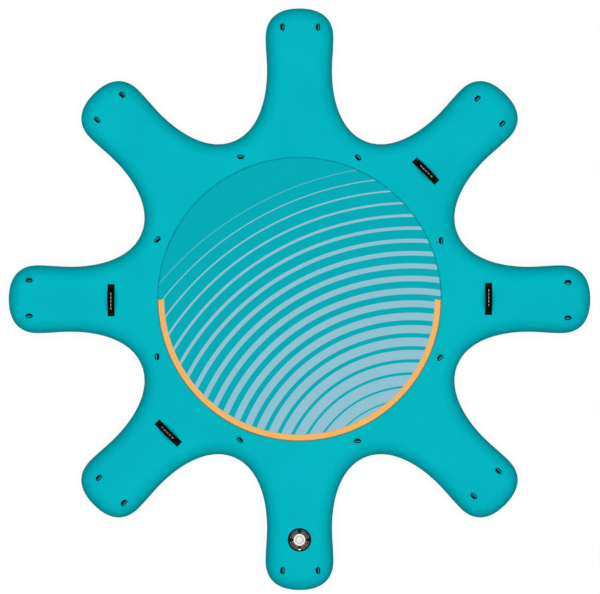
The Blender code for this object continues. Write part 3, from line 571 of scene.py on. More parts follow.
STITCH_ROWS = (0.0014, 0.0036)
PATCH_TOP = DECK + PATCH
LOOP_RADIUS = RING_WIRE / 2 + TAPE_CLEARANCE
BAR_HEIGHT = PATCH_TOP - BOND + TAPE + LOOP_RADIUS
BOW_DISTANCE = RING_DEPTH - RING_WIRE
BAR_FROM_CENTRE = (BOW_DISTANCE + RING_WIRE / 2 - LOOP_RADIUS - TAPE - TAPE_TAIL) / 2
TAIL_END = -(LOOP_RADIUS + TAPE) - TAPE_TAIL
AT_BARS = [face @ Matrix.Translation((-BAR_FROM_CENTRE, 0, BAR_HEIGHT)) for face in RING_FACES]


def webbing_cloth(name, pitch):
    """Black woven webbing, ribbed across its length, darker between its ribs as painted shade."""
    webbing = Finish(name, roughness=0.8, specular=0.03)
    ribs = webbing.weave(pitch)
    # Painted shade: the colour is darkest in the grooves between the ribs and lighter on them.
    webbing.colour(ribs, WEBBING_DARK, WEBBING_LIGHT, low=0.0, high=1.0)
    webbing.shader.inputs["Sheen Weight"].default_value = WEBBING_SHEEN
    webbing.emboss(ribs, WEBBING_RELIEF)
    return webbing.material


def twisted_thread(name, light):
    """Twisted bonded thread, with a painted highlight on the crown of each twist and painted shade
    between.
    """
    thread = Finish(name, roughness=0.6, specular=0.1)
    bands = {"Vector": thread.where, "Scale": TWIST_SCALE}
    twist = thread.node("TexWave", bands, bands_direction="DIAGONAL").outputs["Fac"]
    dark = tuple(THREAD_SHADE * part for part in light)
    # Painted highlight on each twist's crown, painted shade in the grooves between.
    thread.colour(twist, dark, light, low=0.0, high=1.0)
    thread.emboss(twist, THREAD_RELIEF)
    return thread.material


def tube(shape, path, radii, sides, closed=False):
    """Adds a round bar along a path to a mesh in the making."""
    rings = []
    count = len(path)
    for i, point in enumerate(path):
        before = path[i - 1] if closed or i > 0 else point
        after = path[(i + 1) % count] if closed or i + 1 < count else point
        along = (after - before).normalized()
        across = along.cross(Vector((0, 0, 1))).normalized()
        up = across.cross(along)
        ring = [point + across * x + up * y for x, y in circle(radii[i], sides)]
        rings.append([shape.verts.new(corner) for corner in ring])
    join_rows(shape, list(zip(*rings)), around=closed, closed=True)
    if not closed:
        shape.faces.new(rings[0])
        shape.faces.new(reversed(rings[-1]))


def stitch_row(shape, start, end, length, gap):
    """Adds a straight row of stitches, each a short thread that dives into the cloth at its ends."""
    along = (end - start).normalized()
    count = max(1, round(((end - start).length + gap) / (length + gap)))
    pitch = ((end - start).length + gap) / count
    down = Vector((0, 0, -THREAD_RADIUS))
    radii = [THREAD_RADIUS * THREAD_END, THREAD_RADIUS, THREAD_RADIUS, THREAD_RADIUS * THREAD_END]
    for i in range(count):
        first = start + along * pitch * i
        last = first + along * (pitch - gap)
        inset = along * (pitch - gap) * STITCH_DIVE
        tube(shape, [first + down, first + inset, last - inset, last + down], radii, THREAD_SIDES)


def webbing_sheet(path, width, steps):
    """The middle of a webbing's thickness, along a path of (x, z) points and as wide along Y."""
    shape = bmesh.new()
    rows = []
    for i in range(steps + 1):
        across = width * (i / steps - 0.5)
        rows.append([shape.verts.new((x, across, z)) for x, z in path])
    join_rows(shape, list(zip(*rows)))
    bmesh.ops.recalc_face_normals(shape, faces=shape.faces)
    return shape


def folded_tape():
    """The webbing from its lower tail round the bar on the Y axis to its upper tail."""
    middle = LOOP_RADIUS + TAPE / 2
    upper = -middle + TAPE + LAYERS_APART
    wrap = arc(middle, math.radians(-90), math.radians(TAPE_WRAP_DEG), TAPE_STEPS)
    lower_tail = [(TAIL_END, -middle), (TAIL_END * 0.6, -middle)]
    upper_tail = [(-middle - TAPE * 1.2, upper + TAPE_EASE), (TAIL_END * 0.75, upper)]
    path = lower_tail + wrap + upper_tail + [(TAIL_END + TAPE_EASE, upper)]
    return webbing_sheet(path, TAPE_WIDTH, TAPE_ACROSS)


def tape_stitches():
    shape = bmesh.new()
    top = TAPE - LOOP_RADIUS + 2 * LAYERS_APART
    half = TAPE_WIDTH / 2 - STITCH_FROM_EDGE
    for from_end in STITCH_ROWS:
        x = TAIL_END + from_end
        stitch_row(shape, Vector((x, -half, top)), Vector((x, half, top)), TAPE_STITCH, TAPE_STITCH_GAP)
    return shape


def soften(piece, width):
    """Rounds the edges of a piece."""
    rounding = piece.modifiers.new("soft_edges", "BEVEL")
    rounding.width = width
    rounding.segments = 2
    rounding.limit_method = "ANGLE"
    rounding.angle_limit = math.radians(SOFTEN_FROM_DEG)


ring_webbing_finish = webbing_cloth("ring_webbing", TAPE_RIB)
black_thread = twisted_thread("black_thread", THREAD_BLACK)
for number, at_bar in enumerate(AT_BARS, start=1):
    tape = piece_of(f"ring_webbing_{number:02d}", folded_tape(), ring_webbing_finish, place=at_bar)
    thicken(tape, TAPE, 0.0)
    soften(tape, TAPE_EDGE)
    fit(tape, "platform", "top_skin")
    stitches = piece_of(f"ring_stitches_{number:02d}", tape_stitches(), black_thread, place=at_bar)
    fit(stitches, "platform")

# D-rings: 5 mm steel wire bent to a D, welded in the middle of its straight bar and plated black.
# Each one turns in its webbing, and its bow rests on the patch.
RING_WIDTH = 0.036
RING_CORNER = 0.0030
RING_LEG = 0.0035
BOW_SQUARENESS = 2.8
BOW_STEPS = 32
CORNER_STEPS = 5
WIRE_SIDES = 16
WELD = ((0.75, 1.0), (0.12, 1.0), (0.06, 1.07), (0.0, 1.1), (-0.06, 1.07), (-0.12, 1.0), (-0.75, 1.0))
RING_BLACK = (0.0040, 0.0042, 0.0046)
RING_WORN = (0.016, 0.017, 0.018)
RUBBED_SIZE = 0.004
BOW_DROP = math.asin((BAR_HEIGHT - PATCH_TOP - LAYER_GAP - RING_WIRE / 2) / BOW_DISTANCE)


def plated_steel():
    """Black-plated steel with the plating a little brighter where it has rubbed."""
    steel = Finish("plated_steel", roughness=0.32, specular=0.1, metallic=0.9)
    rubbed = steel.patches(RUBBED_SIZE, detail=4.0)
    steel.colour(rubbed, RING_BLACK, RING_WORN, low=0.4, high=0.7)
    steel.polish(rubbed, smooth=0.26, rough=0.42)
    return steel.material


def ring_wire():
    """The D of wire in its own XY plane, with its bar on the Y axis and a weld in the bar's middle."""
    half = (RING_WIDTH - RING_WIRE) / 2
    path = arc(RING_CORNER, math.pi, math.pi / 2, CORNER_STEPS, (RING_CORNER, RING_CORNER - half))
    for i in range(BOW_STEPS + 1):
        angle = -math.pi / 2 + math.pi * i / BOW_STEPS
        out = max(0.0, math.cos(angle)) ** (2 / BOW_SQUARENESS)
        across = math.copysign(abs(math.sin(angle)) ** (2 / BOW_SQUARENESS), angle)
        path.append((RING_LEG + (BOW_DISTANCE - RING_LEG) * out, half * across))
    path += [(x, -y) for x, y in path[CORNER_STEPS::-1]]
    bar = half - RING_CORNER
    points = [Vector((x, y, 0)) for x, y in path] + [Vector((0, bar * part, 0)) for part, _ in WELD]
    radii = [RING_WIRE / 2] * len(path) + [RING_WIRE / 2 * swell for _, swell in WELD]
    shape = bmesh.new()
    tube(shape, points, radii, WIRE_SIDES, closed=True)
    bmesh.ops.recalc_face_normals(shape, faces=shape.faces)
    return shape


ring_finish = plated_steel()
for number, at_bar in enumerate(AT_BARS, start=1):
    place = at_bar @ Matrix.Rotation(BOW_DROP, 4, "Y")
    ring = piece_of(f"steel_ring_{number:02d}", ring_wire(), ring_finish, place=place)
    fit(ring, f"ring_{number:02d}", f"d_ring_{number:02d}")

# Handle patches: a long strip of the coated fabric with round ends, welded to the top skin below
# both ends of each carry handle.
HANDLES = ((0, 0.086, 0.0015), (1, 0.041, 0.007), (4, 0.083, 0.005), (5, 0.0785, 0.009))
HANDLE_LENGTH = 0.160
HANDLE_PATCH_MARGIN = 0.018
HANDLE_PATCH_WIDTH = 0.056
HANDLE_PATCH_EDGE = 0.0005
LONG_PATCH_STEPS = 24


def handle_place(arm, beyond_bay, off_middle):
    """A handle's own frame: its middle on the deck, its X along the webbing."""
    bearing = arm * ARM_ANGLE
    distance = BAY_RADIUS + beyond_bay
    spot = Vector((distance * math.cos(bearing), distance * math.sin(bearing), DECK))
    along_arm = Matrix.Translation(spot) @ Matrix.Rotation(bearing + math.pi / 2, 4, "Z")
    return along_arm @ Matrix.Translation((off_middle, 0, 0))


def cut_sheet(outlines, low, high):
    """A flat piece between two heights; the outlines after the first are its holes."""
    shape = bmesh.new()
    levels = []
    for height in (low, high):
        levels.append([[shape.verts.new((x, y, height)) for x, y in outline] for outline in outlines])
    for lower, upper in zip(*levels):
        join_rows(shape, [lower, upper], around=True)
    for rims in levels:
        if len(rims) == 1:
            shape.faces.new(rims[0])
        else:
            fill_rims(shape, rims)
    bmesh.ops.recalc_face_normals(shape, faces=shape.faces)
    return shape


def long_patch(length, width):
    """The outline of a strip with round ends."""
    radius = width / 2
    end = arc(radius, -math.pi / 2, math.pi, LONG_PATCH_STEPS, (length / 2 - radius, 0.0))
    return end + [(-x, -y) for x, y in end]


HANDLE_PLACES = [handle_place(*handle) for handle in HANDLES]
handle_patch_outline = long_patch(HANDLE_LENGTH + 2 * HANDLE_PATCH_MARGIN, HANDLE_PATCH_WIDTH)
for number, place in enumerate(HANDLE_PLACES, start=1):
    patch_shape = cut_sheet([handle_patch_outline], 0.0, LAYER_GAP + PATCH)
    handle_patch = piece_of(f"handle_patch_{number}", patch_shape, hull_finish, place=place)
    soften(handle_patch, HANDLE_PATCH_EDGE)
    fit(handle_patch, "platform", f"handle_base_{number}")

# Handle webbing: 35 mm black webbing, sewn down at both ends with a box and cross of dark red thread
# and arched between them.
HANDLE_WIDTH = 0.035
HANDLE_SEWN = 0.016
HANDLE_RISE = 0.0355
HANDLE_FOOT = 0.010
HANDLE_CROWN = 0.045
HANDLE_STRAP = 0.0018
HANDLE_RIB = 0.0016
HANDLE_STRAP_EDGE = 0.0004
GRIP_START = 0.40
STRAP_INTO_GRIP = 0.47
STRAP_STEPS = 14
STRAP_ACROSS = 8
SEWN_STEP = 0.0053
BOX_STITCH = 0.0024
BOX_GAP = 0.0007
BOX_FROM_END = 0.0028
BOX_FROM_FOOT = 0.0015
BOX_FROM_EDGE = 0.0080
THREAD_RED = (0.15, 0.034, 0.022)
STRAP_HEIGHT = LAYER_GAP + PATCH - BOND + HANDLE_STRAP / 2
FOOT = HANDLE_LENGTH / 2 - HANDLE_SEWN


def handle_path(t):
    """Distance from the middle and height along half of the handle, from the sewn end at 0."""
    crown = STRAP_HEIGHT + HANDLE_RISE
    knots = ((FOOT, STRAP_HEIGHT), (FOOT - HANDLE_FOOT, STRAP_HEIGHT), (HANDLE_CROWN, crown), (0, crown))
    a, b, c, d = [Vector((x, 0, z)) for x, z in knots]
    return (1 - t) ** 3 * a + 3 * t * (1 - t) ** 2 * b + 3 * t**2 * (1 - t) * c + t**3 * d


def strap_end():
    """The webbing from its sewn tail to just inside the grip."""
    path = [(HANDLE_LENGTH / 2 - SEWN_STEP * i, STRAP_HEIGHT) for i in range(3)]
    for i in range(STRAP_STEPS + 1):
        spot = handle_path(STRAP_INTO_GRIP * i / STRAP_STEPS)
        path.append((spot.x, spot.z))
    return webbing_sheet(path, HANDLE_WIDTH, STRAP_ACROSS)


def box_and_cross(shape, side):
    """Adds the stitching of one sewn end to a mesh in the making."""
    top = STRAP_HEIGHT + HANDLE_STRAP / 2 + LAYERS_APART
    near = side * (FOOT + BOX_FROM_FOOT)
    far = side * (HANDLE_LENGTH / 2 - BOX_FROM_END)
    half = HANDLE_WIDTH / 2 - BOX_FROM_EDGE
    corners = [Vector((x, y, top)) for x, y in ((near, -half), (far, -half), (far, half), (near, half))]
    sides = list(zip(corners, corners[1:] + corners[:1]))
    crosses = [(corners[0], corners[2]), (corners[1], corners[3])]
    for start, end in sides + crosses:
        stitch_row(shape, start, end, BOX_STITCH, BOX_GAP)


strap_finish = webbing_cloth("handle_webbing", HANDLE_RIB)
red_thread = twisted_thread("red_thread", THREAD_RED)
for number, place in enumerate(HANDLE_PLACES, start=1):
    stitching_shape = bmesh.new()
    for side, end_name in ((1, "left"), (-1, "right")):
        strap_shape = strap_end()
        strap_shape.transform(place if side > 0 else place @ Matrix.Rotation(math.pi, 4, "Z"))
        strap = piece_of(f"handle_strap_{number}_{end_name}", strap_shape, strap_finish)
        thicken(strap, HANDLE_STRAP, 0.0)
        soften(strap, HANDLE_STRAP_EDGE)
        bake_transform(strap)
        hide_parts(f"handle_base_{number}")
        box_and_cross(stitching_shape, side)
    stitching = piece_of(f"handle_stitching_{number}", stitching_shape, red_thread, place=place)
    fit(stitching, "platform")

# Handle grips: a sleeve of black knitted cloth, padded with foam and sewn shut along both edges, on
# the arch of the webbing. A plain row of pale satin-stitch bars runs along the middle.
GRIP_THICKNESS = 0.009
GRIP_END_THICKNESS = 0.004
GRIP_SWELL = 0.6
GRIP_HEM = 0.0032
GRIP_HEM_THICKNESS = 0.0026
HEM_ROUNDNESS = 0.75
HEM_PINCH = 0.85
PADDING_CURVE = 0.55
GRIP_LENGTH_STEPS = 16
GRIP_ROUND_STEPS = 10
SLOPE_STEP = 0.01
KNIT_PITCH = 0.0011
KNIT_RELIEF = 0.00015
FLUFF_SIZE = 0.006
BARS = 5
BAR_LENGTH = 0.0114
BAR_GAP = 0.0055
BAR_HALF_WIDTH = 0.0012
BARS_OFF_MIDDLE = (0.0057, -0.0025, 0.0055, -0.0039)
SATIN_PITCH = 0.0005
HALVINGS = 20
PALE_THREAD = (0.84, 0.79, 0.77)


def grip_rise(fullness, part):
    """Half the grip's thickness, that part of the way from its middle to its edge."""
    middle = (GRIP_END_THICKNESS + (GRIP_THICKNESS - GRIP_END_THICKNESS) * fullness) / 2
    hem = 1 - GRIP_HEM / (HANDLE_WIDTH / 2)
    edge = min(GRIP_HEM_THICKNESS / 2, middle)
    if part >= hem:
        return edge * math.sqrt(max(0.0, 1 - ((part - hem) / (1 - hem)) ** 2 * HEM_ROUNDNESS))
    pinched = edge * HEM_PINCH
    return pinched + (middle - pinched) * (1 - (part / hem) ** 2) ** PADDING_CURVE


def grip_section(t):
    """The grip's middle line, the way up from it, and how full the grip is there."""
    after = min(1, t + SLOPE_STEP)
    ahead = handle_path(after) - handle_path(after - 2 * SLOPE_STEP)
    fullness = math.sin(math.pi / 2 * (t - GRIP_START) / (1 - GRIP_START)) ** GRIP_SWELL
    return handle_path(t), Vector((ahead.z, 0, -ahead.x)).normalized(), fullness


def grip_rows():
    """Sections of the grip from one end to the other, each a ring of points round the webbing."""
    steps = GRIP_LENGTH_STEPS
    round_steps = range(-GRIP_ROUND_STEPS, GRIP_ROUND_STEPS + 1)
    parts = [math.sin(math.pi / 2 * k / GRIP_ROUND_STEPS) for k in round_steps]
    rows = []
    for i in range(-steps, steps + 1):
        spot, up, fullness = grip_section(1 - (1 - GRIP_START) * abs(i) / steps)
        side = 1 if i >= 0 else -1
        ring = []
        for face, across in ((1, parts), (-1, parts[-2:0:-1])):
            for part in across:
                point = spot + up * face * grip_rise(fullness, abs(part))
                ring.append(Vector((side * point.x, part * HANDLE_WIDTH / 2, point.z)))
        rows.append(ring)
    return rows


def grip_sleeve():
    shape = bmesh.new()
    rows = [[shape.verts.new(point) for point in ring] for ring in grip_rows()]
    join_rows(shape, rows, around=True)
    shape.faces.new(rows[0])
    shape.faces.new(rows[-1])
    bmesh.ops.recalc_face_normals(shape, faces=shape.faces)
    return shape


def path_share(distance):
    """How far along half of the handle's path a distance from its middle is, by halving."""
    low, high = GRIP_START, 1.0
    for _ in range(HALVINGS):
        middle = (low + high) / 2
        low, high = (middle, high) if handle_path(middle).x > distance else (low, middle)
    return low


def grip_bars(off_middle):
    """A row of bars of satin stitch along the crown of the grip, sewn a little off its middle."""
    shape = bmesh.new()
    half = Vector((0, BAR_HALF_WIDTH, 0))
    row_length = BARS * BAR_LENGTH + (BARS - 1) * BAR_GAP
    for bar in range(BARS):
        start = off_middle - row_length / 2 + (BAR_LENGTH + BAR_GAP) * bar
        for i in range(round(BAR_LENGTH / SATIN_PITCH) + 1):
            x = start + SATIN_PITCH * i
            spot, up, fullness = grip_section(path_share(abs(x)))
            rise = grip_rise(fullness, BAR_HALF_WIDTH / (HANDLE_WIDTH / 2)) + THREAD_RADIUS / 2
            crown = spot + up * rise
            point = Vector((math.copysign(crown.x, x), 0, crown.z))
            stitch_row(shape, point - half, point + half, 2 * BAR_HALF_WIDTH, 0.0)
    return shape


def grip_cloth():
    """Black knitted nylon over foam, slightly greyer on the crown of its stitches as a painted highlight
    and darker between them as painted shade.
    """
    cloth = Finish("grip_cloth", roughness=0.85, specular=0.03)
    knit = cloth.weave(KNIT_PITCH)
    fluff = cloth.patches(FLUFF_SIZE, detail=3.0)
    # Painted shade between the stitches and a painted highlight on their crowns, in uneven fluffy patches.
    cloth.colour(cloth.math("MULTIPLY", knit, fluff), WEBBING_DARK, WEBBING_LIGHT, low=0.0, high=0.7)
    cloth.shader.inputs["Sheen Weight"].default_value = WEBBING_SHEEN
    cloth.emboss(knit, KNIT_RELIEF)
    return cloth.material


sleeve_finish = grip_cloth()
pale_thread = twisted_thread("pale_thread", PALE_THREAD)
for number, (place, off_middle) in enumerate(zip(HANDLE_PLACES, BARS_OFF_MIDDLE), start=1):
    sleeve = piece_of(f"grip_sleeve_{number}", grip_sleeve(), sleeve_finish, smooth_deg=60, place=place)
    fit(sleeve, f"handle_{number}", f"handle_grip_{number}")
    line = piece_of(f"grip_stitches_{number}", grip_bars(off_middle), pale_thread, place=place)
    fit(line, f"handle_{number}")

# Deck pad: a round sheet of closed-cell foam glued to the top skin, its face embossed with a fine
# grain so that wet feet don't slip, and printed with a plain pattern of ripples that thin out.
FOAM = 0.005
PAD_LOW = DECK + LAYER_GAP
PAD_TOP = PAD_LOW + FOAM
BORDER_WIDTH = 0.0315
INNER_PAD_RADIUS = PAD_RADIUS - BORDER_WIDTH
PAD_STEPS = 180
PAD_EDGE = 0.0030
PAD_EDGE_LOW = 0.0006
PAD_FACE_EDGE = 0.0001
PAD_TEAL = (0.0, 0.455, 0.522)
PAD_TEAL_DARK = (0.0, 0.402, 0.463)
LILAC = (0.322, 0.572, 0.690)
LILAC_DARK = (0.278, 0.532, 0.650)
# The cut edge's colour, darker than the face: painted shade on the pad's edge.
CUT_TEAL_SHADED = (0.0, 0.42, 0.48)
GRAIN_PITCH = 0.0052
GROOVE_SHARE = 0.22
GRAIN_DEPTH = 0.0004
MOTTLE_SIZE = 0.011
PORE_SIZE = 0.0012
PORE_DEPTH = 0.0002
PORE_SHADE = 0.7
RIPPLE_CENTRE = (0.56, -0.97, 0.0)
RIPPLE_PITCH = 0.062
RIPPLE_WIDEST = 0.92
RIPPLE_FROM = 0.44
RIPPLE_TO = 1.73
RIPPLE_GONE = -0.02
INK_EDGE = 0.005


def ripple_print(foam):
    """1 where the pad is inked: bands round a centre off the pad, each one thinner than the last."""
    from_centre = {0: foam.where, 1: RIPPLE_CENTRE}
    away = foam.node("VectorMath", from_centre, operation="DISTANCE").outputs["Value"]
    ripple = foam.math("FRACT", foam.math("MULTIPLY", away, 1 / RIPPLE_PITCH))
    off_line = foam.math("ABSOLUTE", foam.math("SUBTRACT", ripple, 0.5))
    half_width = foam.rescaled(away, RIPPLE_FROM, RIPPLE_TO, RIPPLE_WIDEST / 2, RIPPLE_GONE)
    return foam.rescaled(foam.math("SUBTRACT", half_width, off_line), -INK_EDGE, INK_EDGE)


def pressed_foam(name, colours, print_colours=None):
    """Softly mottled foam with small pebbles pressed into its face, darker in the grooves between them as
    painted shade, and with a print if it has colours.
    """
    foam = Finish(name, roughness=0.85, specular=0.06)
    cells = {"Vector": foam.where, "Scale": 1 / GRAIN_PITCH}
    pebbles = foam.node("TexVoronoi", cells, feature="DISTANCE_TO_EDGE").outputs["Distance"]
    grain = foam.rescaled(pebbles, 0.0, GROOVE_SHARE, interpolation_type="SMOOTHSTEP")
    # Random mottle times the grain: the grooves between the pebbles get the dark colour as painted shade.
    mottled = foam.math("MULTIPLY", foam.patches(MOTTLE_SIZE, detail=3.0), grain)
    face = foam.shades(mottled, *colours, low=0.1, high=0.6)
    if print_colours:
        inked = foam.shades(mottled, *print_colours, low=0.1, high=0.6)
        face = foam.node("Mix", {0: ripple_print(foam), 6: face, 7: inked}, data_type="RGBA").outputs[2]
    foam.feed("Base Color", face)
    foam.emboss(grain, GRAIN_DEPTH)
    return foam.material


def shaded_cut_foam(name, light):
    """The knife-cut edge of the foam, open-pored, its colour darker than the face as painted shade on the
    edge and darker still in the pores as painted shade.
    """
    foam = Finish(name, roughness=0.95, specular=0.03)
    pores = foam.patches(PORE_SIZE, detail=3.0)
    dark = tuple(PORE_SHADE * part for part in light)
    foam.colour(pores, dark, light, high=0.6)
    foam.emboss(pores, PORE_DEPTH)
    return foam.material


def foam_sheet(outline):
    """Sheet foam cut to an outline, with its upper edge cut at a slope along the pad's outer edge."""
    shape = bmesh.new()
    flat = [Vector((x, y, 0)) for x, y in outline]
    rows = [[], [], []]
    for before, point, after in zip(flat[-1:] + flat, flat, flat[1:] + flat[:1]):
        along = ((after - point).normalized() + (point - before).normalized()).normalized()
        sloped = point.length > (PAD_RADIUS + INNER_PAD_RADIUS) / 2
        inward = Vector((-along.y, along.x, 0)) * (PAD_EDGE if sloped else 0.0)
        slope_foot = PAD_LOW + PAD_EDGE_LOW if sloped else PAD_TOP - PAD_FACE_EDGE
        rows[0].append(shape.verts.new((point.x, point.y, PAD_LOW)))
        rows[1].append(shape.verts.new((point.x, point.y, slope_foot)))
        rows[2].append(shape.verts.new((point.x + inward.x, point.y + inward.y, PAD_TOP)))
    for face in join_rows(shape, rows, around=True):
        face.material_index = 1
    shape.faces.new(rows[2])
    shape.faces.new(reversed(rows[0]))
    return shape


def half_circle(radius, start):
    return arc(radius, start, math.pi, PAD_STEPS)


pad_outline = half_circle(PAD_RADIUS, 0) + half_circle(INNER_PAD_RADIUS - LAYER_GAP, math.pi)
printed_foam = pressed_foam("printed_foam", (PAD_TEAL_DARK, PAD_TEAL), (LILAC_DARK, LILAC))
shaded_cut_teal_foam = shaded_cut_foam("shaded_cut_teal_foam", CUT_TEAL_SHADED)
pad = piece_of("foam_deck", foam_sheet(pad_outline), printed_foam, shaded_cut_teal_foam, smooth_deg=25)
fit(pad, "platform", "deck_pad")

# Deck border: a band of orange foam of the same sheet thickness, let in round the lower half of the
# pad with a knife-cut joint.
ORANGE = (0.990, 0.524, 0.162)
ORANGE_DARK = (0.925, 0.456, 0.124)
# The cut edge's colour, much darker than the face: painted shade on the border's edge.
CUT_ORANGE_SHADED = (0.46, 0.19, 0.040)

border_rims = half_circle(PAD_RADIUS - LAYER_GAP, math.pi) + half_circle(INNER_PAD_RADIUS, math.pi)[::-1]
border_shape = foam_sheet([(x, y - LAYER_GAP) for x, y in border_rims])
orange_foam = pressed_foam("orange_foam", (ORANGE_DARK, ORANGE))
shaded_cut_orange_foam = shaded_cut_foam("shaded_cut_orange_foam", CUT_ORANGE_SHADED)
border = piece_of("foam_border", border_shape, orange_foam, shaded_cut_orange_foam, smooth_deg=25)
fit(border, "platform", "deck_pad_border")

# Shade film: a thin greenish film on the top skin round the foot of the pad, darker than the skin,
# which paints the shade where the pad stands on the skin.
SHADE_FILM_WIDTH = 0.0046
SHADE_FILM_RISE = 0.0003
SHADE_FILM_FROM_PAD = 0.0002
# Painted shade: the film's colours, darker than the top skin round it.
FOOT_SHADE_DARK = (0.0, 0.31, 0.36)
FOOT_SHADE_LIGHT = (0.0, 0.37, 0.43)


def mottled_finish(
    name, dark, light, size, roughness, specular, detail=3.0, high=0.65, grain=0.0006, depth=0.00003
):
    """A smooth finish whose colour drifts over patches of that size, with a very fine grain."""
    finish = Finish(name, roughness, specular)
    finish.colour(finish.patches(size, detail), dark, light, high=high)
    finish.emboss(finish.patches(grain), depth)
    return finish.material


shade_film_foot = PAD_RADIUS + SHADE_FILM_FROM_PAD
shade_film_profile = [
    (shade_film_foot, DECK),
    (shade_film_foot, DECK + SHADE_FILM_RISE),
    (shade_film_foot + SHADE_FILM_WIDTH / 2, DECK + 0.7 * SHADE_FILM_RISE),
    (shade_film_foot + SHADE_FILM_WIDTH, DECK),
]
painted_shade_film = mottled_finish(
    "painted_shade_film", FOOT_SHADE_DARK, FOOT_SHADE_LIGHT,
    size=0.03, roughness=0.6, specular=0.015, grain=0.002, depth=0.0001,
)
painted_shade_line = piece_of("deck_painted_shade_line", turned(shade_film_profile, 2 * PAD_STEPS), painted_shade_film)
fit(painted_shade_line, "platform")

# Valve patch: a round black patch of coated fabric, welded to the top skin round the valve's hole,
# with two fine rings and four arcs of plain marks pressed into it, and a white oval by its edge.
VALVE_PATCH_RADIUS = 0.0585
VALVE_STEPS = 96
PATCH_LOW = LAYER_GAP
PATCH_HIGH = LAYER_GAP + PATCH
PATCH_ROUNDED = 0.0005
RIDGE = 0.00025
RIDGE_SLOPE = 0.0004
RIDGE_FADE = 0.0008
PRESSED_RINGS = ((0.0414, 0.0423), (0.0523, 0.0533))
MARK_RINGS = ((0.0334, 0.0400, 74.0, 5.2, 3.3), (0.0442, 0.0498, 68.0, 4.0, 1.8))
MARK_ARCS = 4
MARK_SUNK = 0.0001
MARK_GREY = (0.44, 0.35, 0.33)
MARK_DARK = (0.16, 0.115, 0.105)
OVAL_FROM_CENTRE = 0.048
OVAL_LENGTH = 0.015
OVAL_WIDTH = 0.0065
OVAL_SUNK = 0.0002
OVAL_PROUD = 0.0003
OVAL_EDGE = 0.0002
OVAL_STEPS = 48
PATCH_BLACK = (0.0028, 0.0028, 0.0030)
PATCH_GREY = (0.035, 0.022, 0.022)
SCUFF_SIZE = 0.005
PATCH_RELIEF = 0.00004
WHITE_DARK = (0.78, 0.78, 0.76)
WHITE_LIGHT = (0.86, 0.86, 0.84)
AT_VALVE = Matrix.Translation((0.0, VALVE_FROM_TIP - TIP_RADIUS, DECK))


def patch_rubber():
    """Black coated fabric, greyer and matter on its raised rings."""
    rubber = Finish("patch_rubber", roughness=0.6, specular=0.03)
    flat = rubber.node("VectorMath", {0: rubber.where, 1: (1.0, 1.0, 0.0)}, operation="MULTIPLY")
    from_middle = {0: flat.outputs["Vector"]}
    radius = rubber.node("VectorMath", from_middle, operation="LENGTH").outputs["Value"]
    on_rings = []
    for inner, outer in PRESSED_RINGS:
        half = (outer - inner) / 2
        away = rubber.math("ABSOLUTE", rubber.math("SUBTRACT", radius, (inner + outer) / 2))
        on_rings.append(rubber.rescaled(away, half, half - RIDGE_FADE))
    scuffs = rubber.patches(SCUFF_SIZE, detail=3.0)
    worn = rubber.math("MULTIPLY", rubber.math("MAXIMUM", *on_rings), scuffs)
    rubber.colour(worn, PATCH_BLACK, PATCH_GREY, low=0.0, high=0.6)
    rubber.emboss(rubber.weave(SCRIM_PITCH), PATCH_RELIEF)
    return rubber.material


def ridged_patch():
    profile = [(SKIN_HOLE_RADIUS, PATCH_LOW), (SKIN_HOLE_RADIUS, PATCH_HIGH)]
    for inner, outer in PRESSED_RINGS:
        crest = PATCH_HIGH + RIDGE
        profile += [(inner, PATCH_HIGH), (inner + RIDGE_SLOPE, crest)]
        profile += [(outer - RIDGE_SLOPE, crest), (outer, PATCH_HIGH)]
    profile += [
        (VALVE_PATCH_RADIUS - PATCH_EDGE, PATCH_HIGH),
        (VALVE_PATCH_RADIUS - PATCH_CORNER, PATCH_HIGH - PATCH_CORNER),
        (VALVE_PATCH_RADIUS, PATCH_HIGH - PATCH_ROUNDED),
        (VALVE_PATCH_RADIUS, PATCH_LOW),
    ]
    return turned(profile, VALVE_STEPS)


def merge(shape, other):
    """Adds another mesh in the making to this one."""
    mesh = bpy.data.meshes.new("part")
    other.to_mesh(mesh)
    other.free()
    shape.from_mesh(mesh)
    bpy.data.meshes.remove(mesh)


def sector(inner, outer, low, high, start_deg, sweep_deg, steps=10):
    """A curved block between two radii, two heights and two angles."""
    span = (math.radians(start_deg), math.radians(sweep_deg), steps)
    return cut_sheet([arc(outer, *span) + arc(inner, *span)[::-1]], low, high)


def pressed_marks():
    """Arcs of plain short marks round the patch, which help the fingers to find the valve."""
    shape = bmesh.new()
    heights = (PATCH_HIGH - MARK_SUNK, PATCH_HIGH + RIDGE)
    for arc_number in range(MARK_ARCS):
        middle = 360 * (arc_number + 0.5) / MARK_ARCS
        for inner, outer, reach, pitch, sweep in MARK_RINGS:
            count = round(reach / pitch)
            for i in range(count):
                start = middle + pitch * (i - (count - 1) / 2) - sweep / 2
                merge(shape, sector(inner, outer, *heights, start, sweep, steps=3))
    return shape


def valve_piece(name, shape, *finishes, smooth_deg=32, body="platform", slot="valve_plastic", node=None):
    """A piece made about the valve's axis, put in its place on the raft."""
    piece = piece_of(name, shape, *finishes, smooth_deg=smooth_deg, place=AT_VALVE)
    fit(piece, body, node)


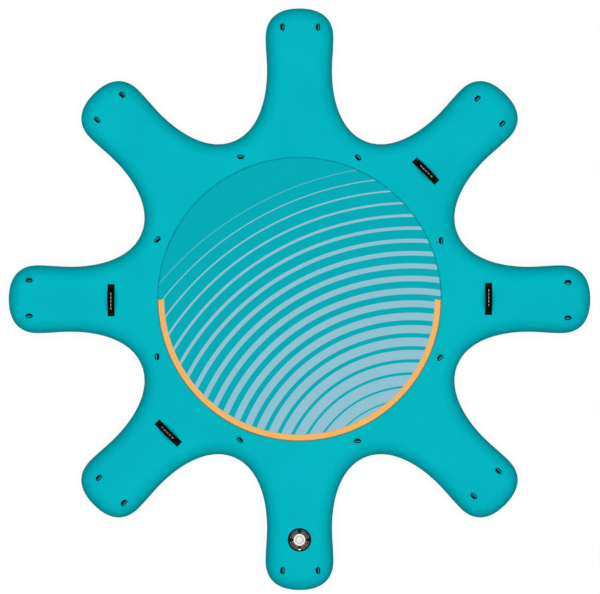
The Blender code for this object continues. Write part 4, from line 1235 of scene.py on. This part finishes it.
valve_piece(
    "valve_base_patch", ridged_patch(), patch_rubber(),
    smooth_deg=30, slot="valve_patch_rubber", node="valve_patch",
)
mark_rubber = mottled_finish(
    "mark_rubber", MARK_DARK, MARK_GREY, size=0.007, roughness=0.7, specular=0.1, detail=2.0
)
valve_piece(
    "valve_patch_marks", pressed_marks(), mark_rubber,
    smooth_deg=40, slot="valve_patch_rubber", node="valve_patch",
)
white_plastic = mottled_finish(
    "white_plastic", WHITE_DARK, WHITE_LIGHT, size=0.006, roughness=0.4, specular=0.45
)
oval = [(x * OVAL_LENGTH / 2, y * OVAL_WIDTH / 2) for x, y in circle(1.0, OVAL_STEPS)]
oval_shape = cut_sheet([oval], PATCH_HIGH - OVAL_SUNK, PATCH_HIGH + RIDGE + OVAL_PROUD)
oval_place = AT_VALVE @ Matrix.Translation((0, -OVAL_FROM_CENTRE, 0))
oval_mark = piece_of("valve_patch_oval", oval_shape, white_plastic, place=oval_place)
soften(oval_mark, OVAL_EDGE)
fit(oval_mark, "platform")

# Valve gasket, nut and seal: the rubber ring below the flange, the ring inside the hull that clamps
# the body to the skin, and the rubber disc that meets the seat. They are hidden, so the frame's own
# pieces stay.
RUBBER_DARK = (0.003, 0.003, 0.0032)
RUBBER_LIGHT = (0.009, 0.009, 0.0095)
RUBBER_GRAIN = 0.0005

rubber = mottled_finish(
    "black_rubber", RUBBER_DARK, RUBBER_LIGHT,
    size=0.004, roughness=0.7, specular=0.12, grain=RUBBER_GRAIN, high=0.7,
)
dress(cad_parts["valve_gasket"], rubber)
dress(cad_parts["valve_seal"], rubber)
dress(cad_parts["valve_nut"], white_plastic)

# Valve body: flange, socket and seat moulded in one piece of white plastic, with three ramped lugs
# for the pump's nozzle and a ribbed hub that guides the stem.
FLANGE_LOW = 0.0026
FLANGE_TOP = 0.0052
FLANGE_RADIUS = 0.0295
FLANGE_EDGE = 0.0009
SOCKET_RADIUS = 0.0178
SOCKET_EDGE = 0.0005
TUBE_RADIUS = 0.0200
SEAT_TOP = FLANGE_TOP - 0.030
SEAT_LOW = SEAT_TOP - 0.003
SEAT_RADIUS = 0.010
HUB_RADIUS = 0.0052
HUB_BORE = 0.0030
HUB_TOP = SEAT_LOW + 0.0065
HUB_STEPS = 48
RIB_COUNT = 3
RIB_FROM_X_DEG = 30
RIB_WIDTH = 0.0024
RIB_SPREAD = 1.4
RIB_STEP = 0.0004
MOULDED_IN = 0.0003
LUG_PROUD = 0.0010
LUG_TOP = FLANGE_TOP - 0.0100
LUG_LOW = LUG_TOP - 0.0016
LUG_SWEEP_DEG = 26


def rounded_rim(radius, top, edge):
    """The rounded outer edge of a turned piece, from its upper face to its side."""
    return [(radius - edge, top), (radius - edge * 0.3, top - edge * 0.3), (radius, top - edge)]


def valve_shell():
    profile = rounded_rim(FLANGE_RADIUS, FLANGE_TOP, FLANGE_EDGE) + [
        (FLANGE_RADIUS, FLANGE_LOW),
        (TUBE_RADIUS, FLANGE_LOW),
        (TUBE_RADIUS, SEAT_LOW),
        (SEAT_RADIUS, SEAT_LOW),
        (SEAT_RADIUS, SEAT_TOP),
        (SOCKET_RADIUS, SEAT_TOP),
        (SOCKET_RADIUS, FLANGE_TOP - SOCKET_EDGE),
        (SOCKET_RADIUS + SOCKET_EDGE, FLANGE_TOP),
    ]
    shape = turned(profile, VALVE_STEPS)
    hub = [(HUB_BORE, SEAT_LOW), (HUB_RADIUS, SEAT_LOW), (HUB_RADIUS, HUB_TOP), (HUB_BORE, HUB_TOP)]
    merge(shape, turned(hub, HUB_STEPS))
    rib_radii = (HUB_RADIUS - MOULDED_IN, SEAT_RADIUS + MOULDED_IN)
    rib_sweep = RIB_SPREAD * math.degrees(RIB_WIDTH / 2 / HUB_RADIUS)
    lug_radii = (SOCKET_RADIUS - LUG_PROUD, SOCKET_RADIUS + MOULDED_IN)
    for i in range(RIB_COUNT):
        bearing = RIB_FROM_X_DEG + 360 / RIB_COUNT * i
        rib_heights = (SEAT_LOW + RIB_STEP, SEAT_TOP - RIB_STEP)
        merge(shape, sector(*rib_radii, *rib_heights, bearing - rib_sweep / 2, rib_sweep, steps=4))
        merge(shape, sector(*lug_radii, LUG_LOW, LUG_TOP, bearing - LUG_SWEEP_DEG / 2, LUG_SWEEP_DEG))
    return shape


valve_piece("valve_shell", valve_shell(), white_plastic, node="valve_body")

# Poppet and button: the disc and stem that the spring holds shut, and the button snapped on the
# stem's end, with a moulded bar to turn it by. Both are white plastic.
STEM_RADIUS = 0.0026
STEM_EDGE = 0.0004
POPPET_RADIUS = 0.0125
SEAL_DISC = 0.0012
POPPET_TOP = SEAT_LOW - LAYER_GAP - SEAL_DISC - LAYER_GAP
POPPET_LOW = POPPET_TOP - 0.0025
POPPET_UPPER_EDGE = 0.0003
POPPET_LOWER_EDGE = 0.0005
BUTTON_TOP = FLANGE_TOP - 0.014
BUTTON_LOW = BUTTON_TOP - 0.0032
BUTTON_RADIUS = 0.0065
BUTTON_EDGE = 0.0010
BUTTON_DISH = 0.0006
BUTTON_DISH_RADIUS = 0.0044
BUTTON_DISH_RIM = 0.0048
BUTTON_BAR_SIZE = (0.0090, 0.0022)
BUTTON_BAR_SUNK = 0.0009
BUTTON_BAR_PROUD = 0.0002
STEM_TOP = BUTTON_TOP - 0.0014
SMALL_STEPS = 64

poppet_profile = [
    (0, STEM_TOP),
    (STEM_RADIUS - STEM_EDGE, STEM_TOP),
    (STEM_RADIUS, STEM_TOP - STEM_EDGE),
    (STEM_RADIUS, POPPET_TOP),
    (POPPET_RADIUS - POPPET_UPPER_EDGE, POPPET_TOP),
    (POPPET_RADIUS, POPPET_TOP - POPPET_UPPER_EDGE),
    (POPPET_RADIUS, POPPET_LOW + POPPET_LOWER_EDGE),
    (POPPET_RADIUS - POPPET_LOWER_EDGE, POPPET_LOW),
    (0, POPPET_LOW),
]
poppet_shape = turned(poppet_profile, SMALL_STEPS, closed=False)
valve_piece(
    "valve_stem_and_disc", poppet_shape, white_plastic,
    smooth_deg=40, body="valve_poppet", node="valve_poppet",
)
button_profile = [(0, BUTTON_TOP - BUTTON_DISH), (BUTTON_DISH_RADIUS, BUTTON_TOP - BUTTON_DISH)]
button_profile += [(BUTTON_DISH_RIM, BUTTON_TOP), *rounded_rim(BUTTON_RADIUS, BUTTON_TOP, BUTTON_EDGE)]
button_profile += [
    (BUTTON_RADIUS, BUTTON_LOW),
    (STEM_RADIUS + LAYER_GAP, BUTTON_LOW),
    (STEM_RADIUS + LAYER_GAP, STEM_TOP + LAYER_GAP),
    (0, STEM_TOP + LAYER_GAP),
]
button_shape = turned(button_profile, SMALL_STEPS, closed=False)
bar_heights = (BUTTON_TOP - BUTTON_BAR_SUNK, BUTTON_TOP + BUTTON_BAR_PROUD)
merge(button_shape, cut_sheet([long_patch(*BUTTON_BAR_SIZE)], *bar_heights))
valve_piece("valve_push_button", button_shape, white_plastic, body="valve_button", node="valve_button")

# Valve spring: an open coil of stainless wire round the stem, between the hub and the button.
SPRING_WIRE = 0.0009
SPRING_TURNS = 4
SPRING_STEPS = 24
SPRING_SIDES = 10
WIRE_DARK = (0.42, 0.42, 0.41)
WIRE_LIGHT = (0.60, 0.60, 0.59)
DRAWN_SIZE = 0.001


def bright_wire():
    wire = Finish("bright_wire", roughness=0.28, specular=0.5, metallic=1.0)
    wire.colour(wire.patches(DRAWN_SIZE), WIRE_DARK, WIRE_LIGHT)
    return wire.material


spring_low = HUB_TOP + LAYER_GAP + SPRING_WIRE / 2
spring_high = BUTTON_LOW - LAYER_GAP - SPRING_WIRE / 2
coil_radius = HUB_RADIUS - SPRING_WIRE / 2 - LAYER_GAP
coil_steps = SPRING_TURNS * SPRING_STEPS
coil = []
for i, (x, y) in enumerate(arc(coil_radius, 0.0, math.tau * SPRING_TURNS, coil_steps)):
    coil.append(Vector((x, y, spring_low + (spring_high - spring_low) * i / coil_steps)))
spring_shape = bmesh.new()
tube(spring_shape, coil, [SPRING_WIRE / 2] * len(coil), SPRING_SIDES)
spring_shape.transform(AT_VALVE)
spring = piece_of("valve_coil_spring", spring_shape, bright_wire())
fit(spring, "platform", "valve_spring")
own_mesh(spring)

# Valve cap: pale grey moulded plastic, with a ribbed rim, a sunk ring painted greyer as its shade
# and a raised bar to turn it by, over a hollow plug that carries a rubber sealing ring in a groove.
CAP_LOW = 0.0069
CAP_THICKNESS = 0.0032
CAP_TOP = CAP_LOW + CAP_THICKNESS
CAP_RADIUS = 0.0240
CAP_DOME = 0.0005
CAP_EDGE = 0.0012
CAP_FACE_LOW = 0.0008
CAP_FACE_EDGE = 0.0009
CAP_GROOVE_LIP = 0.0012
PLUG_RADIUS = 0.0162
PLUG_INNER = 0.0142
PLUG_DEPTH = 0.0085
PLUG_LOW = FLANGE_TOP - PLUG_DEPTH
PLUG_EDGE = 0.0004
SEAL_HEIGHT = FLANGE_TOP - PLUG_DEPTH / 2
SEAL_HALF = 0.0006
SEAL_STEPS = 16
GROOVE_HALF = SEAL_HALF + LAYER_GAP
GROOVE_RADIUS = PLUG_RADIUS - SEAL_HALF - LAYER_GAP
CAP_RIBS = 40
CAP_RIB_PROUD = 0.0004
CAP_RIB_ROOT = 0.0005
CAP_RIB_STEP = 0.0001
CAP_BAR_SIZE = (0.0270, 0.0052)
CAP_BAR_SUNK = 0.0012
CAP_GREY = (0.68, 0.65, 0.63)
CAP_PALE = (0.84, 0.81, 0.79)
GROOVE_SHADE_DARK = (0.42, 0.42, 0.40)
GROOVE_SHADE_LIGHT = (0.56, 0.56, 0.54)
CAP_GROOVE_INNER = 0.0152
CAP_GROOVE_OUTER = 0.0200
CAP_GROOVE_EDGE = 0.0006
CAP_GROOVE_WALL = 0.0004
CAP_GROOVE_DEPTH = 0.0016

cap_side = CAP_RADIUS - CAP_RIB_PROUD
cap_shoulder = CAP_TOP - CAP_DOME - CAP_EDGE
cap_profile = [
    (0, CAP_TOP - CAP_FACE_LOW),
    (CAP_GROOVE_INNER - CAP_GROOVE_EDGE, CAP_TOP - CAP_FACE_EDGE),
    (CAP_GROOVE_INNER, CAP_TOP - CAP_GROOVE_LIP),
    (CAP_GROOVE_INNER + CAP_GROOVE_WALL, CAP_TOP - CAP_GROOVE_DEPTH),
    (CAP_GROOVE_OUTER - CAP_GROOVE_WALL, CAP_TOP - CAP_GROOVE_DEPTH),
    (CAP_GROOVE_OUTER, CAP_TOP - CAP_FACE_LOW),
    (CAP_GROOVE_OUTER + CAP_GROOVE_EDGE, CAP_TOP - CAP_DOME * 0.8),
    (CAP_RADIUS - CAP_EDGE, CAP_TOP - CAP_DOME),
    (CAP_RADIUS - CAP_EDGE * 0.5, CAP_TOP - CAP_DOME - CAP_EDGE * 0.2),
    (cap_side, cap_shoulder),
    (cap_side, CAP_LOW),
    (PLUG_RADIUS, CAP_LOW),
    (PLUG_RADIUS, SEAL_HEIGHT + GROOVE_HALF),
    (GROOVE_RADIUS, SEAL_HEIGHT + GROOVE_HALF),
    (GROOVE_RADIUS, SEAL_HEIGHT - GROOVE_HALF),
    (PLUG_RADIUS, SEAL_HEIGHT - GROOVE_HALF),
    (PLUG_RADIUS, PLUG_LOW + PLUG_EDGE),
    (PLUG_RADIUS - PLUG_EDGE, PLUG_LOW),
    (PLUG_INNER, PLUG_LOW),
    (PLUG_INNER, CAP_LOW),
    (0, CAP_LOW),
]
cap_shape = turned(cap_profile, VALVE_STEPS, closed=False)
rib_size = (cap_side - CAP_RIB_ROOT, CAP_RADIUS, CAP_LOW + CAP_RIB_STEP, cap_shoulder)
rib_pitch = 360 / CAP_RIBS
for i in range(CAP_RIBS):
    merge(cap_shape, sector(*rib_size, rib_pitch * i, rib_pitch / 2, steps=2))
merge(cap_shape, cut_sheet([long_patch(*CAP_BAR_SIZE)], CAP_TOP - CAP_BAR_SUNK, CAP_TOP))
# The faces of the sunk ring take a greyer finish: painted shade in the groove.
for face in cap_shape.faces:
    middle = face.calc_center_median()
    in_groove = CAP_GROOVE_INNER < middle.xy.length < CAP_GROOVE_OUTER and middle.z > CAP_LOW + CAP_DOME
    face.material_index = 1 if in_groove else 0
cap_finish = mottled_finish(
    "pale_plastic", CAP_GREY, CAP_PALE, size=0.007, roughness=0.42, specular=0.45
)
groove_shade_finish = mottled_finish(
    "painted_shade_plastic", GROOVE_SHADE_DARK, GROOVE_SHADE_LIGHT, size=0.005, roughness=0.55, specular=0.45
)
valve_piece(
    "valve_dust_cap", cap_shape, cap_finish, groove_shade_finish,
    body="valve_cap", slot="cap_plastic", node="valve_cap",
)
seal_profile = circle(SEAL_HALF, SEAL_STEPS, (PLUG_RADIUS, SEAL_HEIGHT))
valve_piece(
    "cap_sealing_ring", turned(seal_profile, VALVE_STEPS), rubber,
    smooth_deg=40, body="valve_cap", slot="valve_rubber", node="valve_cap_seal",
)

# Cap tether: a strap of white moulded plastic that keeps the cap on the valve. Its eye turns round
# the cap's plug, and a pin across its other end, sleeved in black rubber, turns in two ears of a black
# ring snapped round the flange.
TETHER_LOW = 0.0055
TETHER_TOP = 0.0066
TETHER_RADIUS = 0.0205
TETHER_WIDTH = 0.008
TETHER_WAIST = 0.0036
WAIST_FROM = 0.0245
WAIST_TO = 0.0305
WAIST_FLARE = 0.0016
EYE_STEPS = 60
PIN_RADIUS = 0.0009
PIN_FROM_CENTRE = FLANGE_RADIUS + 0.0040
PIN_HEIGHT = (TETHER_LOW + TETHER_TOP) / 2
PIN_SIDES = 20
PIN_END = 0.95
PIN_END_SHARE = 0.75
HOLDER_WIDTH = 0.0022
HOLDER_EDGE = 0.0006
EAR_GAP = TETHER_WIDTH + 2 * LAYER_GAP
EAR_THICKNESS = 0.0018
EAR_RADIUS = 2 * PIN_RADIUS + LAYER_GAP
EAR_STEPS = 16


def tether_outline():
    """The eye's round edge running out into the strap."""
    reach = math.asin(TETHER_WIDTH / 2 / TETHER_RADIUS)
    eye = arc(TETHER_RADIUS, math.pi / 2 + reach, math.tau - 2 * reach, EYE_STEPS)
    half = TETHER_WIDTH / 2
    waist = TETHER_WAIST / 2
    flare = WAIST_TO + WAIST_FLARE
    right_side = [(waist, WAIST_FROM), (waist, WAIST_TO), (half, flare), (half, PIN_FROM_CENTRE)]
    return eye + right_side + [(-x, y) for x, y in reversed(right_side)]


plug_hole = circle(PLUG_RADIUS + LAYER_GAP, SMALL_STEPS)
tether_shape = cut_sheet([tether_outline(), plug_hole], TETHER_LOW, TETHER_TOP)
pin_half = EAR_GAP / 2 + EAR_THICKNESS
pin_path = [Vector((pin_half * part, PIN_FROM_CENTRE, PIN_HEIGHT)) for part in (-1, -PIN_END, PIN_END, 1)]
pin_radii = [PIN_RADIUS * share for share in (PIN_END_SHARE, 1, 1, PIN_END_SHARE)]
tube(tether_shape, pin_path, pin_radii, PIN_SIDES)
for face in tether_shape.faces:
    face.material_index = 1 if face.calc_center_median().y > WAIST_TO else 0
valve_piece(
    "cap_strap", tether_shape, white_plastic, rubber,
    body="valve_cap_tether", slot="cap_plastic", node="valve_cap_tether",
)

holder_inner = FLANGE_RADIUS + LAYER_GAP
holder_outer = holder_inner + HOLDER_WIDTH
holder_low = 2 * LAYER_GAP + PATCH
holder_high = FLANGE_TOP - LAYER_GAP
holder_profile = [
    (holder_inner, holder_low),
    (holder_outer, holder_low),
    (holder_outer, holder_high - HOLDER_EDGE),
    (holder_outer - HOLDER_EDGE, holder_high),
    (holder_inner, holder_high),
]
holder_shape = turned(holder_profile, VALVE_STEPS)
ear_back = -EAR_RADIUS - LAYER_GAP
ear_foot = holder_low - PIN_HEIGHT
ear_outline = [(ear_back, ear_foot), (EAR_RADIUS, ear_foot)]
ear_outline += arc(EAR_RADIUS, 0.0, math.pi, EAR_STEPS)[:-1] + [(ear_back, 0.0)]
upright = Matrix.Rotation(math.pi / 2, 4, "Z") @ Matrix.Rotation(math.pi / 2, 4, "X")
for ear_from in (EAR_GAP / 2, -EAR_GAP / 2 - EAR_THICKNESS):
    ear = cut_sheet([ear_outline, circle(PIN_RADIUS + LAYER_GAP, PIN_SIDES)], 0.0, EAR_THICKNESS)
    ear.transform(Matrix.Translation((ear_from, PIN_FROM_CENTRE, PIN_HEIGHT)) @ upright)
    merge(holder_shape, ear)
valve_piece("cap_strap_ring", holder_shape, rubber, slot="valve_rubber", node="valve_tether_ring")

# Studio: a plain pale floor and backdrop that read white, a soft ring of lamps high round the raft,
# and the camera straight above it, far enough away to flatten the view.
FLOOR_HALF = 30.0
FLOOR_BELOW = 0.0005
FLOOR_ALBEDO = 0.10
FLOOR_GLOW = 0.90
AMBIENT = 0.05
WHITE = (1.0, 1.0, 1.0, 1.0)
LAMPS = 6
LAMP_FROM_ZENITH = math.radians(20)
LAMP_SOFTNESS = math.radians(30)
CAMERA_LENS = 300
SENSOR = 36
VIEW_WIDTH = 2.987
VIEW_HEIGHT = THICKNESS * 0.75
CAMERA_OFFSET = (0.0025, 0.0112)


def seen_directly(tree):
    """1 for the rays that show the background itself, straight or in a reflection, and 0 for the rest."""
    path = add_node(tree, "LightPath")
    straight = {0: path.outputs["Is Camera Ray"], 1: path.outputs["Is Glossy Ray"]}
    shown = add_node(tree, "Math", straight, operation="MAXIMUM").outputs["Value"]
    through = {0: shown, 1: path.outputs["Is Transmission Ray"]}
    return add_node(tree, "Math", through, operation="MAXIMUM").outputs["Value"]


def pale_floor():
    finish = bpy.data.materials.new("pale_floor")
    finish.use_nodes = True
    tree = finish.node_tree
    tree.nodes.clear()
    matt = add_node(tree, "BsdfDiffuse", {"Color": (FLOOR_ALBEDO,) * 3 + (1.0,)})
    strength = add_node(tree, "Math", {0: seen_directly(tree), 1: FLOOR_GLOW}, operation="MULTIPLY")
    glow = add_node(tree, "Emission", {"Strength": strength.outputs["Value"]})
    both = add_node(tree, "AddShader", {0: matt.outputs["BSDF"], 1: glow.outputs["Emission"]})
    add_node(tree, "OutputMaterial", {"Surface": both.outputs["Shader"]})
    return finish


floor_shape = bmesh.new()
bmesh.ops.create_grid(floor_shape, x_segments=2, y_segments=2, size=FLOOR_HALF)
floor = piece_of("studio_floor", floor_shape, pale_floor())
floor.location.z = -FLOOR_BELOW

world = bpy.data.worlds.new("studio")
bpy.context.scene.world = world
world.use_nodes = True
sky = world.node_tree
sky.nodes.clear()
soft_light = add_node(sky, "Background", {"Color": WHITE, "Strength": AMBIENT})
backdrop = add_node(sky, "Background", {"Color": WHITE, "Strength": 1.0})
lit = {0: seen_directly(sky), 1: soft_light.outputs[0], 2: backdrop.outputs[0]}
add_node(sky, "OutputWorld", {"Surface": add_node(sky, "MixShader", lit).outputs["Shader"]})

for i in range(LAMPS):
    lamp = bpy.data.lights.new(f"lamp_{i + 1}", "SUN")
    lamp.energy = math.pi * (1 - AMBIENT) / (LAMPS * math.cos(LAMP_FROM_ZENITH))
    lamp.angle = LAMP_SOFTNESS
    stand = bpy.data.objects.new(f"lamp_{i + 1}", lamp)
    round_the_raft = Matrix.Rotation(math.tau * i / LAMPS, 4, "Z")
    stand.matrix_world = round_the_raft @ Matrix.Rotation(LAMP_FROM_ZENITH, 4, "X")
    bpy.context.scene.collection.objects.link(stand)

lens = bpy.data.cameras.new("overhead")
lens.lens = CAMERA_LENS
lens.sensor_width = SENSOR
lens.sensor_fit = "HORIZONTAL"
camera = bpy.data.objects.new("overhead", lens)
camera.location = (*CAMERA_OFFSET, VIEW_HEIGHT + VIEW_WIDTH * CAMERA_LENS / SENSOR)
bpy.context.scene.collection.objects.link(camera)
bpy.context.scene.camera = camera
bpy.context.scene.view_settings.view_transform = "Standard"

bpy.context.view_layer.update()
